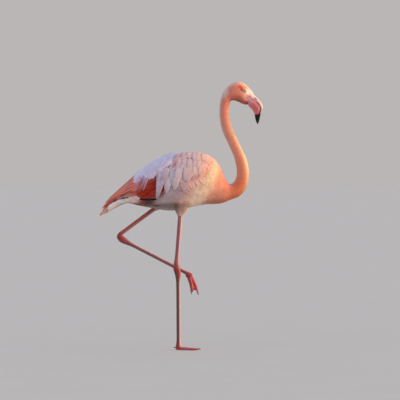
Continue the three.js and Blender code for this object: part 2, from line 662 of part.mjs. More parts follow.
// ---------------------------------------------------------------- feathers
/** The shaft of one feather: its point over the skin, and the skin's normal, at a share of its length. */
function featherShaft(side, tier, share, random) {
  const between = ([first, last]) => mix(first, last, share);
  const root = { along: between(tier.root.along), angle: between(tier.root.angle) };
  const tip = { along: between(tier.tip.along), angle: between(tier.tip.angle) };
  tip.along += VANE.jitter * random() * Math.abs(root.along - tip.along);
  tip.angle += VANE.jitter * random() * VANE.jitterAngle;
  const [low, middle, high] = mixAll(...tier.lift, share);
  const place = (t) => [mix(root.along, tip.along, t), onSide(side, mix(root.angle, tip.angle, t))];
  const lift = (t) => low * (1 - t) * (1 - 2 * t) + middle * 4 * t * (1 - t) + high * t * (2 * t - 1);
  return { point: (t) => onSkin(...place(t), lift(t)), normal: (t) => skinNormal(...place(t)) };
}

/** One feather: a thin vane with a thicker shaft line, its root inside the core and its tip free. */
function vaneSolid(side, tier, share, random) {
  const shaft = featherShaft(side, tier, share, random);
  const width = mix(...tier.width, share) * (1 + VANE.jitter * random());
  const { at, wide } = VANE_SHAPES[tier.shape];
  const step = 0.01;
  const [upper, lower] = [[], []];
  at.forEach((t, i) => {
    const middle = shaft.point(t);
    const ahead = shaft.point(Math.min(t + step, 1)).sub(shaft.point(Math.max(t - step, 0))).normalize();
    const across = ahead.clone().cross(shaft.normal(t)).normalize().multiplyScalar(-side);
    const up = across.clone().cross(ahead).normalize();
    if (up.dot(shaft.normal(t)) < 0) up.negate();
    const half = (width * wide[i]) / 2;
    const thin = i === at.length - 1 ? VANE.tipShare : 1;
    const place = (sideways, height) =>
      middle.clone().addScaledVector(across, sideways).addScaledVector(up, height * thin);
    const roll = tier.roll * wide[i];
    const droop = VANE.camber * half * 2;
    const row = (face) => [
      place(-half, (face * VANE.edge) / 2 - droop - roll),
      place(0, (face * VANE.shaft) / 2),
      place(half, (face * VANE.edge) / 2 - droop + roll),
    ];
    upper.push(row(1));
    lower.push(row(-1));
  });
  return sheetSolid(upper, lower);
}

/** All feathers of one tier on one side. */
function tierSolids(side, tier, random) {
  const shares = Array.from({ length: tier.count }, (_, k) => k / (tier.count - 1));
  return shares.map((share) => vaneSolid(side, tier, share, random));
}

/** The wing's core: a shell over the skin, thickest in the middle, rounded at the wrist, its rim sunk. */
function wingCore(side) {
  const { along, angle, thick, sunk, rim, wristFrom } = WING_CORE;
  const inner = (count) => Array.from({ length: count }, (_, i) => (i + 1) / (count + 1));
  const lines = (count) => [0, rim, ...inner(count), 1 - rim, 1];
  const grid = (liftOf) =>
    lines(6).map((u) =>
      lines(4).map((v) => {
        const wrist = clamp((u - wristFrom) / (1 - wristFrom), 0, 1);
        const round = mix(...angle, mix(0.5, v, Math.cos(wrist * 1.13)));
        return onSkin(mix(...along, u), onSide(side, round), liftOf(u, v));
      }),
    );
  const rise = (distance) => Math.min(1, distance / (1.6 * rim));
  const crown = (u, v) => {
    const lengthwise = Math.min(1, 0.4 + 2 * u, 0.3 + 3.2 * (1 - u));
    return lengthwise * rise(1 - u) * rise(v) * rise(1 - v);
  };
  return sheetSolid(grid((u, v) => mix(-sunk, thick, crown(u, v))), grid(() => -2 * sunk));
}

const tailSolid = joined([
  stretch(TAIL_CORE.from, TAIL_CORE.to, 16, 12, -TAIL_CORE.sunk),
  stretch(stationAt.rump - 16, stationAt.rump - GAP, 8, 12),
  ...[RIGHT, LEFT].flatMap((side) => tierSolids(side, TAIL_FEATHERS, seededRandom(71 + side))),
]);
const tailRoom = stretch(0, stationAt.rump + GAP, 14, 14, 1.6);

/** A wing: its core and its tiers, clear of the trunk, the tail and the other wing. */
function wingSolid(side) {
  const random = seededRandom(203 + side);
  const feathers = WING_TIERS.flatMap((tier) => tierSolids(side, tier, random));
  const otherHalf = new THREE.BoxGeometry(1200, 200, 700).translate(-50, -side * (100 - halfGap), 700);
  return joined([wingCore(side), ...feathers])
    .subtract(torsoRoom)
    .subtract(tailRoom)
    .subtract(solid(otherHalf));
}

// ---------------------------------------------------------------- the bird
const bird = new THREE.Group();

function addPart(name, manifold, look) {
  const material = new THREE.MeshStandardMaterial({ ...look, metalness: 0 });
  const mesh = new THREE.Mesh(geometryOf(manifold), material);
  mesh.name = name;
  bird.add(mesh);
}

addPart("torso", torsoSolid, LOOKS.plumage);
addPart("tail", tailSolid, LOOKS.tail);
for (const { name, solid: length } of neckSolids) addPart(name, length, LOOKS.neck);
addPart("head", headSolid, LOOKS.head);
addPart("bill_upper", billUpper, LOOKS.upperBill);
addPart("bill_lower", billLower, LOOKS.lowerBill);
for (const leg of [RIGHT_LEG, LEFT_LEG]) {
  const word = leg.side === RIGHT ? "right" : "left";
  const { thigh, shin, hock, tarsus } = legSolids(leg);
  const { foot, claws } = footSolids(leg);
  addPart("eye_" + word, solid(eyeGeometry(leg.side)), LOOKS.eye);
  addPart("wing_" + word, wingSolid(leg.side), LOOKS.wing);
  addPart("thigh_" + word, thigh, LOOKS.plumage);
  addPart("shin_" + word, shin, LOOKS.leg);
  addPart("hock_" + word, hock, LOOKS.hock);
  addPart("tarsus_" + word, tarsus, LOOKS.leg);
  addPart("foot_" + word, foot, LOOKS.leg);
  for (const claw of claws) addPart("claw_" + claw.name + "_" + word, claw.solid, LOOKS.claw);
}

export default bird;
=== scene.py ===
import math
import bpy
import numpy as np
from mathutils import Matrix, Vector


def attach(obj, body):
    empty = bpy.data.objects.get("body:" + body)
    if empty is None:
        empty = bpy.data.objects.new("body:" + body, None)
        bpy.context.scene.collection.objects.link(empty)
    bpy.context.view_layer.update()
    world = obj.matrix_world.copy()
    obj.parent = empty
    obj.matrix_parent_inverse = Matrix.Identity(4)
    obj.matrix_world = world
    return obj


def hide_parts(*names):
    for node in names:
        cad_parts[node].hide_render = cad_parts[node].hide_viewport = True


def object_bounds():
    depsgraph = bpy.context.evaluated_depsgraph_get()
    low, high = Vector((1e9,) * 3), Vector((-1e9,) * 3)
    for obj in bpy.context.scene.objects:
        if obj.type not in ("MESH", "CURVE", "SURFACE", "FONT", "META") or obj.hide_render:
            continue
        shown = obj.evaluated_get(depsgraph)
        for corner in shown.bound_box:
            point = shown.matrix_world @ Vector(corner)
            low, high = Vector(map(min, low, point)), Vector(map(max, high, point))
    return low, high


# A greater flamingo at life size. It stands on its right foot, with the left leg drawn up behind.
# Shapes are worked out in millimetres and turned to metres where a mesh is made.

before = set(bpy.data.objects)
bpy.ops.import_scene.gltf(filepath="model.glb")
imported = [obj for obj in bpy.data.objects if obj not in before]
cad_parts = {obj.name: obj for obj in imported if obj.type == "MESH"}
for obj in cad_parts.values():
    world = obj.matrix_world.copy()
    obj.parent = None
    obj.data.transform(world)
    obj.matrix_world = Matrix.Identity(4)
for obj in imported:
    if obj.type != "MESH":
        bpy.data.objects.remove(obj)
cadLow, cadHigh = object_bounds()
designedHeight = 1073.0
unit = (cadHigh.z - cadLow.z) / designedHeight
luck = np.random.default_rng(41)
print("frame loaded, one designed millimetre is", round(unit * 1000, 4), "mm")


def linearColour(code):
    # sRGB hex to linear: ((v + 0.055) / 1.055) ** 2.4, or v / 12.92 where v is small
    shade = np.array([int(code[i:i + 2], 16) for i in (1, 3, 5)]) / 255
    return np.where(shade > 0.04045, ((shade + 0.055) / 1.055) ** 2.4, shade / 12.92)


def rise(low, high, x):
    # a soft step: 0 under low, 1 over high, 3t^2 - 2t^3 between
    t = np.clip((np.asarray(x, float) - low) / (high - low), 0, 1)
    return t * t * (3 - 2 * t)


def mix(a, b, t):
    # a + (b - a) t
    return a + (b - a) * t


def tint(colours, code, share):
    # colours moved towards one colour by a share at each point
    share = np.asarray(share, float)[..., None]
    return colours + (linearColour(code) - colours) * share


def plainColour(code, points):
    # one colour at every point
    return np.broadcast_to(linearColour(code), points.shape)


def grid(*axes):
    # each value of the first axis with each of the next
    return np.meshgrid(*axes, indexing="ij")


def fullTurn(sides):
    # equal steps once round, in radians
    return np.arange(sides) * 2 * np.pi / sides


def unitVector(v):
    # v over its own length
    return v / np.maximum(np.linalg.norm(v, axis=-1, keepdims=True), 1e-9)


def throughPoints(keys, values):
    # a cubic between each two keys: value, slope and slope from the two neighbours (Hermite)
    keys, values = np.asarray(keys, float), np.asarray(values, float)
    last = len(keys) - 1
    before, after = np.maximum(np.arange(last + 1) - 1, 0), np.minimum(np.arange(last + 1) + 1, last)
    slopes = ((values[after] - values[before]).T / (keys[after] - keys[before])).T

    def curve(x):
        x = np.clip(np.asarray(x, float), keys[0], keys[-1])
        i = np.clip(np.searchsorted(keys, x, side="right") - 1, 0, last - 1)
        step = keys[i + 1] - keys[i]
        u = (x - keys[i]) / step
        if values.ndim > 1:
            step, u = step[..., None], u[..., None]
        return (values[i] * (2 * u ** 3 - 3 * u ** 2 + 1) + values[i + 1] * (3 * u ** 2 - 2 * u ** 3)
                + slopes[i] * step * (u ** 3 - 2 * u ** 2 + u) + slopes[i + 1] * step * (u ** 3 - u ** 2))
    return curve


def stepped(keys, values, x):
    # straight lines between values, for one number or one colour at each key
    values = np.asarray(values, float)
    if values.ndim == 1:
        return np.interp(x, keys, values)
    return np.stack([np.interp(x, keys, values[:, i]) for i in range(values.shape[1])], -1)


# meshes from arrays

def tubeFaces(count, rings, sides):
    # tubes of rings of points: a quad between two rings and two sides, a fan of triangles over each end
    tube, ring, side = grid(np.arange(count), np.arange(rings - 1), np.arange(sides))
    here = (tube * rings + ring) * sides + side
    beside = (tube * rings + ring) * sides + (side + 1) % sides
    quads = np.stack([here, beside, beside + sides, here + sides], -1).reshape(-1, 4)
    tube, side = grid(np.arange(count), np.arange(1, sides - 1))
    first = tube * rings * sides
    last = first + (rings - 1) * sides
    fans = [np.stack([first, first + side + 1, first + side], -1),
            np.stack([last, last + side, last + side + 1], -1)]
    return quads, np.concatenate([fan.reshape(-1, 3) for fan in fans])


def facingOut(points, quads, tris):
    # the sum of a . (b x c) over all triangles is six times the volume; its sign tells which way they face
    split = np.concatenate([quads[:, [0, 1, 2]], quads[:, [0, 2, 3]], tris])
    a, b, c = points[split[:, 0]], points[split[:, 1]], points[split[:, 2]]
    if np.sum(a * np.cross(b, c)) < 0:
        return quads[:, ::-1], tris[:, ::-1]
    return quads, tris


def tubePart(points, colours, bake=None, vane=None, lie=None):
    # points is tubes x rings x sides x 3, or one tube without the first, in millimetres
    points = points.reshape((-1,) + points.shape[-3:])
    flat = points.reshape(-1, 3)
    quads, tris = facingOut(flat - flat.mean(0), *tubeFaces(*points.shape[:3]))
    part = {"points": flat, "quads": quads, "tris": tris}
    for name, value in {"colours": colours, "bake": bake, "vane": vane, "lie": lie}.items():
        if value is not None:
            part[name] = np.broadcast_to(value, points.shape[:3] + value.shape[-1:]).reshape(len(flat), -1)
    return part


def intoScene(name, data):
    # an object that holds the data, linked to the scene at the origin
    thing = bpy.data.objects.new(name, data)
    bpy.context.scene.collection.objects.link(thing)
    return thing


def makePiece(name, parts, material, replaced=(), soft=0.0):
    # all parts joined in one mesh, in metres; colours go to the attribute "shade", the maps to "OFBake" and
    # "vane"; soft turns each point's normal towards that of the body under it, as barbs that part do
    starts = np.cumsum([0] + [len(part["points"]) for part in parts])
    quads, tris = [np.concatenate([part[key] + start for part, start in zip(parts, starts)])
                   for key in ("quads", "tris")]
    joined = {key: np.concatenate([part[key] for part in parts])
              for key in ("points", "colours", "bake", "vane", "lie") if key in parts[0]}
    count = len(joined["points"])
    corners = np.concatenate([quads.ravel(), tris.ravel()]).astype(np.int32)
    sizes = np.repeat([4, 3], [len(quads), len(tris)])
    mesh = bpy.data.meshes.new(name)
    mesh.vertices.add(count)
    mesh.vertices.foreach_set("co", (joined["points"] * unit).astype(np.float32).ravel())
    mesh.loops.add(len(corners))
    mesh.loops.foreach_set("vertex_index", corners)
    mesh.polygons.add(len(sizes))
    mesh.polygons.foreach_set("loop_start", (np.cumsum(sizes) - sizes).astype(np.int32))
    mesh.polygons.foreach_set("use_smooth", np.ones(len(sizes), bool))
    mesh.update(calc_edges=True)
    if soft:
        own = np.empty(count * 3, np.float32)
        mesh.vertex_normals.foreach_get("vector", own)
        turned = unitVector(mix(own.reshape(-1, 3), joined["lie"], soft))
        mesh.normals_split_custom_set_from_vertices(turned)
    for key, layerName in (("bake", "OFBake"), ("vane", "vane")):
        if key in joined:
            layer = mesh.uv_layers.new(name=layerName)
            layer.data.foreach_set("uv", joined[key][corners].astype(np.float32).ravel())
    layer = mesh.color_attributes.new(name="shade", type="FLOAT_COLOR", domain="POINT")
    full = np.concatenate([np.clip(joined["colours"], 0, 1), np.ones((count, 1))], 1)
    layer.data.foreach_set("color", full.astype(np.float32).ravel())
    piece = intoScene(name, mesh)
    mesh.materials.append(material)
    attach(piece, "root")
    if replaced:
        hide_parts(*replaced)
    print(name, "has", 2 * len(quads) + len(tris), "triangles")


# the long form: tail, trunk, neck and head in one

# each row is a cut: back line x and z, belly line x and z, half the width
longForm = {
    "cuts": np.array([
        (-316, 541, -312, 534, 5), (-264, 603, -258, 568, 17), (-210, 652, -206, 587, 31),
        (-158, 702, -162, 578, 50), (-98, 748, -104, 567, 65), (-28, 781, -40, 557, 73),
        (42, 792, 22, 563, 75), (102, 787, 72, 575.5, 71), (143, 766, 114, 582, 61),
        (171, 728, 148, 583, 48), (189, 685, 177, 587, 38), (203, 665, 208, 600, 30.5),
        (219, 671, 246, 617, 27), (231, 692, 274.5, 655, 24.5), (232.5, 720, 282, 708, 24),
        (226.5, 756, 275, 754, 23), (214.5, 790, 255.5, 802, 21), (196, 830, 234, 847, 19.5),
        (176.5, 872, 217.5, 886, 18.5), (166, 916, 204.5, 926, 17.5), (163.5, 958, 200.5, 960, 17),
        (168, 1000, 205, 985, 17.5), (182, 1038, 208, 995, 19.5), (208, 1062.5, 220, 998, 22),
        (235, 1073, 238, 993, 23), (257, 1069, 256, 984.5, 22), (275, 1055.5, 268, 981.5, 19),
        (292, 1038, 277, 982, 15.5),
    ]),
    "trunkTopHeavy": 0.05,
    "headTopHeavy": -0.16,
    # how deep the skin lies under the tips of the coat
    "coatKeys": [0, 60, 140, 320, 500, 580, 930, 1000, 1050, 1075, 1092],
    "coatDepth": [1.2, 2, 4, 5, 4.5, 3, 2.6, 2, 1.2, 0.5, 0.4],
}
middles = (longForm["cuts"][:, :2] + longForm["cuts"][:, 2:4]) / 2
cutDistance = np.concatenate([[0], np.cumsum(np.linalg.norm(np.diff(middles, axis=0), axis=1))])
formLength = cutDistance[-1]
cutAt = throughPoints(cutDistance, longForm["cuts"])
# distances along the form that other pieces use
breastAt, neckTurnAt, napeBendAt, crownAt = cutDistance[[9, 12, 21, 24]]


def formPoint(s, angle):
    # belly + (back - belly) (1 + cos angle) / 2; sideways half width * sin angle * (1 + heavy cos angle)
    s, angle = np.broadcast_arrays(np.asarray(s, float), np.asarray(angle, float))
    cut = cutAt(s)
    up, side = np.cos(np.radians(angle)), np.sin(np.radians(angle))
    heavy = (longForm["trunkTopHeavy"] * (1 - rise(breastAt, neckTurnAt, s))
             + longForm["headTopHeavy"] * rise(napeBendAt, crownAt, s))
    share = (1 + up) / 2
    return np.stack([mix(cut[..., 2], cut[..., 0], share), -cut[..., 4] * side * (1 + heavy * up),
                     mix(cut[..., 3], cut[..., 1], share)], -1)


def formNormal(s, angle):
    # across the two directions of the surface, from small steps each way
    s = np.clip(s, 1, formLength - 1)
    along = formPoint(s + 1, angle) - formPoint(s - 1, angle)
    around = formPoint(s, angle + 1) - formPoint(s, angle - 1)
    return unitVector(np.cross(around, along))


def overForm(s, angle, lift):
    # the point of the form moved out along its normal by lift
    s, angle, lift = np.broadcast_arrays(*[np.asarray(v, float) for v in (s, angle, lift)])
    return formPoint(s, angle) + formNormal(s, angle) * lift[..., None]


def fold(angle):
    # the angle from the back line, 0 to 180, the same on both sides
    return 180 - np.abs(180 - np.mod(angle, 360))


# the mass of a folded wing: where it lies in distance and angle, and how soon it rises from its edges
wingShell = {
    "along": (252, 506), "angle": (9, 117), "thick": 9, "ends": (0.45, 0.22), "edge": 0.2,
    "wristFrom": 0.72, "wristTurn": 1.13,
}


def wingBump(s, angle):
    # the folded wing's mass: thick * smooth rises from each edge, drawn in round at the wrist
    (rear, fore), (top, bottom) = wingShell["along"], wingShell["angle"]
    u = (s - rear) / (fore - rear)
    wrist = np.clip((u - wingShell["wristFrom"]) / (1 - wingShell["wristFrom"]), 0, 1)
    v = (fold(angle) - top) / (bottom - top)
    v = 0.5 + (v - 0.5) / np.cos(wrist * wingShell["wristTurn"])
    (rearRise, foreRise), edge = wingShell["ends"], wingShell["edge"]
    return (wingShell["thick"] * rise(0, rearRise, u) * rise(0, foreRise, 1 - u)
            * rise(0, edge, v) * rise(0, edge, 1 - v))


# the ball's middle in the side view, its size and how deep it sits; the socket's depth and soft edge
eyeSpec = {
    "at": (263.5, 1037), "radius": 7.6, "sunk": 4.2, "socket": 6, "edge": (-1.2, 1.4), "lidBare": 1.2,
}
headGrid = np.stack(grid(np.linspace(napeBendAt, formLength - 2, 500), np.linspace(10, 120, 440)), -1)
seenFromSide = formPoint(headGrid[..., 0], headGrid[..., 1])
missBy = np.hypot(seenFromSide[..., 0] - eyeSpec["at"][0], seenFromSide[..., 2] - eyeSpec["at"][1])
eyeS, eyeAngle = headGrid[np.unravel_index(np.argmin(missBy), missBy.shape)]
sideSign = {"right": 1, "left": -1}
eyeFrames = {}
for word, sign in sideSign.items():
    outward = formNormal(eyeS, sign * eyeAngle)
    eyeFrames[word] = (overForm(eyeS, sign * eyeAngle, -eyeSpec["sunk"]), outward)


def fromEye(points):
    # the distance to the nearer eye's middle
    return np.minimum(*[np.linalg.norm(points - middle, axis=-1) for middle, outward in eyeFrames.values()])


def eyeSocket(points):
    # how far each point sinks at the eye: 1 in the opening, 0 outside it
    inner, outer = eyeSpec["edge"]
    return 1 - rise(eyeSpec["radius"] + inner, eyeSpec["radius"] + outer, fromEye(points))


def skinLift(s, angle):
    # the wing's mass less the depth of the coat
    return wingBump(s, angle) - stepped(longForm["coatKeys"], longForm["coatDepth"], s)


# colours, with painted light and shade in some bands and patches: one set for skin and coat

# colours along the form: distance, back line, flank, belly line
colourTable = {
    "bands": [
        (0, "#F0B89C", "#E59A7C", "#EEC4B4"),
        (60, "#E2A08C", "#CC7A64", "#B88478"),
        (130, "#CE9A9A", "#BC7A70", "#80504A"),
        # on the back line from 200 to 300 the grey lilac is painted shade: a whitish pink back as it looks
        # in cool sky light
        (200, "#C8BCCB", "#B08078", "#744038"),
        (250, "#CFC9DA", "#C0A8AE", "#A08880"),
        (300, "#D4C8D4", "#CCB8BE", "#B8A8A6"),
        (340, "#DCC8CC", "#CCB2B4", "#AC9288"),
        # on the belly line at 385 and 430 the pale colours are painted light, for the low sun on the lower
        # breast
        (385, "#F0D4CC", "#E2BAAC", "#FFC6AA"),
        (430, "#FCD8CA", "#FFD4B8", "#FFE4C8"),
        (500, "#FACAB0", "#F8BC94", "#E8A080"),
        (548, "#F0A084", "#E88C6C", "#CC7258"),
        (600, "#E48E74", "#DA7648", "#C8642E"),
        # on the belly line at 700 and 850 the cream is painted highlight, for the sun along the front of the
        # neck
        (700, "#DE9484", "#E68866", "#FFF0BE"),
        (850, "#DCB0AA", "#EA9474", "#C8BC9C"),
        (950, "#E4BEB4", "#E58468", "#E88C68"),
        (1010, "#F0C4B0", "#E2806A", "#C8644C"),
        (1045, "#FFCCAC", "#EE8A66", "#B0543C"),
        (1072, "#FFD8B8", "#F0AE92", "#A04430"),
        (1092, "#FFE6CE", "#EEACA0", "#9A3E3E"),
    ],
    # soft patches seen from the side: middle x and z, long and short radius, slope, colour, strength
    "patches": [
        (-150, 682, 15, 12, 0, "#B57C9A", 0.7),
        (-158, 656, 26, 12, 0, "#C07474", 0.6),
        (-205, 668, 30, 12, 50, "#C08A96", 0.5),
        (-92, 688, 16, 6, 55, "#8A5560", 0.7),
        (-15, 742, 21, 6.5, 56, "#DC5E44", 0.95),
        (8, 738, 11, 4, 60, "#D0705A", 0.7),
        (5, 776, 20, 5.5, 16, "#D88468", 0.9),
        (66, 778, 50, 12, -8, "#F4C0AA", 0.6),
        (68, 688, 14, 7, -10, "#B84E2C", 0.95),
        (92, 704, 14, 6, 38, "#C4502E", 0.9),
        (106, 706, 22, 13, 30, "#E88874", 0.5),
        (101, 750, 19, 5.5, 0, "#EC906C", 0.8),
        # painted highlight: the low sun on the front of the shoulder
        (130, 694, 62, 18, 66, "#FFE2B0", 0.75),
        # painted light: the low sun on the lower breast
        (86, 628, 48, 22, 42, "#FFE0BE", 0.8),
        (136, 592, 42, 13, 8, "#B85A40", 0.6),
        (152, 624, 40, 15, 24, "#DA7A62", 0.5),
        (160, 668, 38, 14, 74, "#EE9478", 0.55),
        # painted light over the shade on the belly above the right thigh
        (27, 590, 22, 11, 0, "#FFC4A8", 0.85),
        # the white undertail coverts, made whiter as painted light in the shade under the tertials
        (-222, 606, 24, 12, 20, "#FFF6EE", 0.85),
        # painted shade: mauve grey on the lower flank
        (4, 640, 60, 16, -14, "#A8808A", 0.3),
        (-10, 612, 90, 14, 4, "#A98A8C", 0.3),
        # painted shade: the dark bottom of the belly, lit little from below
        (-34, 578, 66, 13, 2, "#7C6258", 0.8),
        (-182, 607, 26, 13, 0, "#FFC8BE", 0.9),
        (-146, 592, 22, 13, 4, "#A8483C", 0.9),
        (-118, 591, 26, 14, 0, "#5A0E06", 1.0),
        # painted shade: the dark gap where the left leg leaves the belly
        (-88, 578, 17, 4, 0, "#3A0E0C", 0.9),
        (-62, 628, 24, 9, 62, "#7E2218", 0.75),
        (232, 640, 44, 16, 58, "#DE6430", 0.45),
    ],
    # the same on the head, which is finer
    "facePatches": [
        (186, 1032, 26, 14, 80, "#F2CDBC", 0.75),
        (249, 1048.5, 13, 6.5, -46, "#D6501C", 1.0),
        (266, 1049, 8, 5, -46, "#EE9058", 0.7),
        (281, 1014, 19, 1.6, -38, "#8E5E68", 0.85),
        (253, 1039.5, 6, 4, -30, "#7A2410", 1.0),
        (272, 1046, 5.5, 3, -46, "#F7B07E", 0.8),
        (276, 1032, 16, 10, -42, "#FFF4DC", 1.0),
        (270, 1018, 11, 4, -38, "#EDBCB4", 0.8),
        (279, 1007, 11, 6.5, -40, "#CC8290", 0.85),
        (240, 1012, 20, 8, -10, "#CF6A52", 0.5),
        (232, 998, 26, 5, -4, "#A64834", 0.75),
        (271, 989, 10, 7, -10, "#A8333C", 0.9),
        (262, 992, 9, 6, -10, "#D2603A", 0.6),
    ],
}


def patchShare(points, x, z, long, short, slope):
    # exp(-(d / radius)^4) in the patch's own long and short directions, in the side view
    turn = math.radians(slope)
    dx, dz = points[..., 0] - x, points[..., 2] - z
    along = (dx * math.cos(turn) + dz * math.sin(turn)) / long
    across = (dz * math.cos(turn) - dx * math.sin(turn)) / short
    return np.exp(-(across ** 2 + along ** 2) ** 2)


def softPatches(colours, points, patches):
    # colours moved towards each patch's colour in turn, by its strength times its share
    for *place, code, strength in patches:
        colours = tint(colours, code, strength * patchShare(points, *place))
    return colours


def colourAndPaintedLight(s, angle, points):
    # bands along the form, mixed back to flank to belly by the angle, then the patches; some of both are
    # painted light and shade
    bands = colourTable["bands"]
    keys = [band[0] for band in bands]
    back, flank, belly = [stepped(keys, [linearColour(band[i]) for band in bands], s) for i in (1, 2, 3)]
    angle = fold(angle)
    colours = mix(back, flank, rise(12, 62, angle)[..., None])
    colours = mix(colours, belly, rise(100, 158, angle)[..., None])
    return softPatches(softPatches(colours, points, colourTable["patches"]), points, colourTable["facePatches"])


# materials

def addNode(tree, kind, settings=None, inputs=None):
    # a node with its settings, and its inputs as plain values or as links from other nodes
    node = tree.nodes.new(kind)
    for name, value in (settings or {}).items():
        setattr(node, name, value)
    for name, value in (inputs or {}).items():
        if isinstance(value, bpy.types.NodeSocket):
            tree.links.new(value, node.inputs[name])
        else:
            node.inputs[name].default_value = value
    return node


def startMaterial(name, size, low, high, colour=None):
    # a material and its colour, the attribute "shade" or a plain one, times a noise between low and high;
    # size is the noise's, in millimetres, and the noise comes too, for the bump
    material = bpy.data.materials.new(name)
    material.use_nodes = True
    tree = material.node_tree
    tree.nodes.clear()
    if colour is None:
        colour = addNode(tree, "ShaderNodeAttribute", {"attribute_name": "shade"}).outputs["Color"]
    place = addNode(tree, "ShaderNodeTexCoord")
    noise = addNode(tree, "ShaderNodeTexNoise", inputs={
        "Vector": place.outputs["Object"], "Scale": 1 / (size * unit), "Detail": 3.0})
    level = addNode(tree, "ShaderNodeMapRange", inputs={
        "Value": noise.outputs["Fac"], "From Min": 0.3, "From Max": 0.7, "To Min": low, "To Max": high})
    mottled = addNode(tree, "ShaderNodeVectorMath", {"operation": "SCALE"}, {
        0: colour, "Scale": level.outputs[0]})
    return material, tree, mottled.outputs[0], noise.outputs["Fac"]


def finishMaterial(tree, inputs):
    # a surface with these sockets, joined to the output
    surface = addNode(tree, "ShaderNodeBsdfPrincipled", inputs=inputs)
    addNode(tree, "ShaderNodeOutputMaterial", inputs={"Surface": surface.outputs[0]})


def featherMaterial(name, barb, bumpShare, sheen):
    # keratin vanes: matt, with slanting barbs each side of the shaft; barb is their spacing in millimetres
    material, tree, colour, noise = startMaterial(name, 5, 0.93, 1.07)
    vane = addNode(tree, "ShaderNodeUVMap", {"uv_map": "vane"})
    place = addNode(tree, "ShaderNodeSeparateXYZ", inputs={0: vane.outputs[0]})
    out = addNode(tree, "ShaderNodeMath", {"operation": "ABSOLUTE"}, {0: place.outputs["X"]})
    slant = addNode(tree, "ShaderNodeMath", {"operation": "MULTIPLY_ADD"}, {
        0: out.outputs[0], 1: -1.1, 2: place.outputs["Y"]})
    waves = addNode(tree, "ShaderNodeMath", {"operation": "MULTIPLY"}, {
        0: slant.outputs[0], 1: 2 * math.pi * 100 / barb})  # the map is in decimetres
    ridge = addNode(tree, "ShaderNodeMath", {"operation": "SINE"}, {0: waves.outputs[0]})
    light = addNode(tree, "ShaderNodeMapRange", inputs={
        "Value": ridge.outputs[0], "From Min": -1.0, "From Max": 1.0, "To Min": 0.95, "To Max": 1.04})
    barred = addNode(tree, "ShaderNodeVectorMath", {"operation": "SCALE"}, {
        0: colour, "Scale": light.outputs[0]})
    bump = addNode(tree, "ShaderNodeBump", inputs={
        "Height": ridge.outputs[0], "Strength": bumpShare, "Distance": 0.0004})
    finishMaterial(tree, {
        "Base Color": barred.outputs[0], "Roughness": 0.72, "Normal": bump.outputs[0],
        "Specular IOR Level": 0.2, "Sheen Weight": sheen, "Sheen Roughness": 0.5})
    return material


# short body feathers, worn soft: their barbs part and hide the shaft, so the light spreads on them
bodyFeather = featherMaterial("softContourFeather", 1.6, 0.15, 0.08)
# stiff close-webbed feathers, with barbs drawn coarse enough to show
vaneFeather = featherMaterial("closeWebbedFeather", 2.4, 0.3, 0.06)


def downSkinMaterial():
    # skin with down on it, only seen between the feathers: matt and a little darker than the coat
    material, tree, colour, noise = startMaterial("downySkin", 4, 0.86, 1.04)
    bump = addNode(tree, "ShaderNodeBump", inputs={"Height": noise, "Strength": 0.3, "Distance": 0.0006})
    finishMaterial(tree, {
        "Base Color": colour, "Roughness": 0.6, "Normal": bump.outputs[0], "Specular IOR Level": 0.35,
        "Subsurface Weight": 0.08, "Subsurface Scale": 0.004, "Subsurface Radius": (1.0, 0.4, 0.3)})
    return material


def scalyLegMaterial():
    # bare scaly leg skin: small raised plates with fine seams, satin from wax and wear
    plateSize = 2.4
    material, tree, colour, noise = startMaterial("scalyLegSkin", 7, 0.84, 1.12)
    place = addNode(tree, "ShaderNodeTexCoord")
    plates = addNode(tree, "ShaderNodeTexVoronoi", {"feature": "DISTANCE_TO_EDGE"}, {
        "Vector": place.outputs["Object"], "Scale": 1 / (plateSize * unit)})
    seam = addNode(tree, "ShaderNodeMapRange", inputs={
        "Value": plates.outputs["Distance"], "From Min": 0.0, "From Max": 0.16,
        "To Min": 0.72, "To Max": 1.0})
    seamed = addNode(tree, "ShaderNodeVectorMath", {"operation": "SCALE"}, {
        0: colour, "Scale": seam.outputs[0]})
    bump = addNode(tree, "ShaderNodeBump", inputs={
        "Height": seam.outputs[0], "Strength": 0.5, "Distance": 0.0004})
    finishMaterial(tree, {
        "Base Color": seamed.outputs[0], "Roughness": 0.48, "Normal": bump.outputs[0],
        "Specular IOR Level": 0.45, "Subsurface Weight": 0.1, "Subsurface Scale": 0.003,
        "Subsurface Radius": (1.0, 0.35, 0.25)})
    return material


def hornMaterial(name, rough, grain):
    # living horn of the bill or a claw: smooth and close, with a faint grain along it
    material, tree, colour, noise = startMaterial(name, grain, 0.93, 1.06)
    bump = addNode(tree, "ShaderNodeBump", inputs={"Height": noise, "Strength": 0.12, "Distance": 0.0003})
    finishMaterial(tree, {
        "Base Color": colour, "Roughness": rough, "Normal": bump.outputs[0], "IOR": 1.54,
        "Specular IOR Level": 0.25, "Coat Weight": 0.08, "Coat Roughness": 0.25})
    return material


def eyeMaterial():
    # wet cornea over the iris: a sharp clear gloss
    material, tree, colour, noise = startMaterial("wetEye", 0.8, 0.9, 1.08)
    finishMaterial(tree, {
        "Base Color": colour, "Roughness": 0.18, "IOR": 1.376, "Coat Weight": 1.0, "Coat Roughness": 0.02})
    return material


downySkin, scalyLegSkin = downSkinMaterial(), scalyLegMaterial()
billHorn, clawHorn = hornMaterial("billHorn", 0.34, 2.5), hornMaterial("clawHorn", 0.4, 1.5)
wetEye = eyeMaterial()
print("materials ready")


# skin

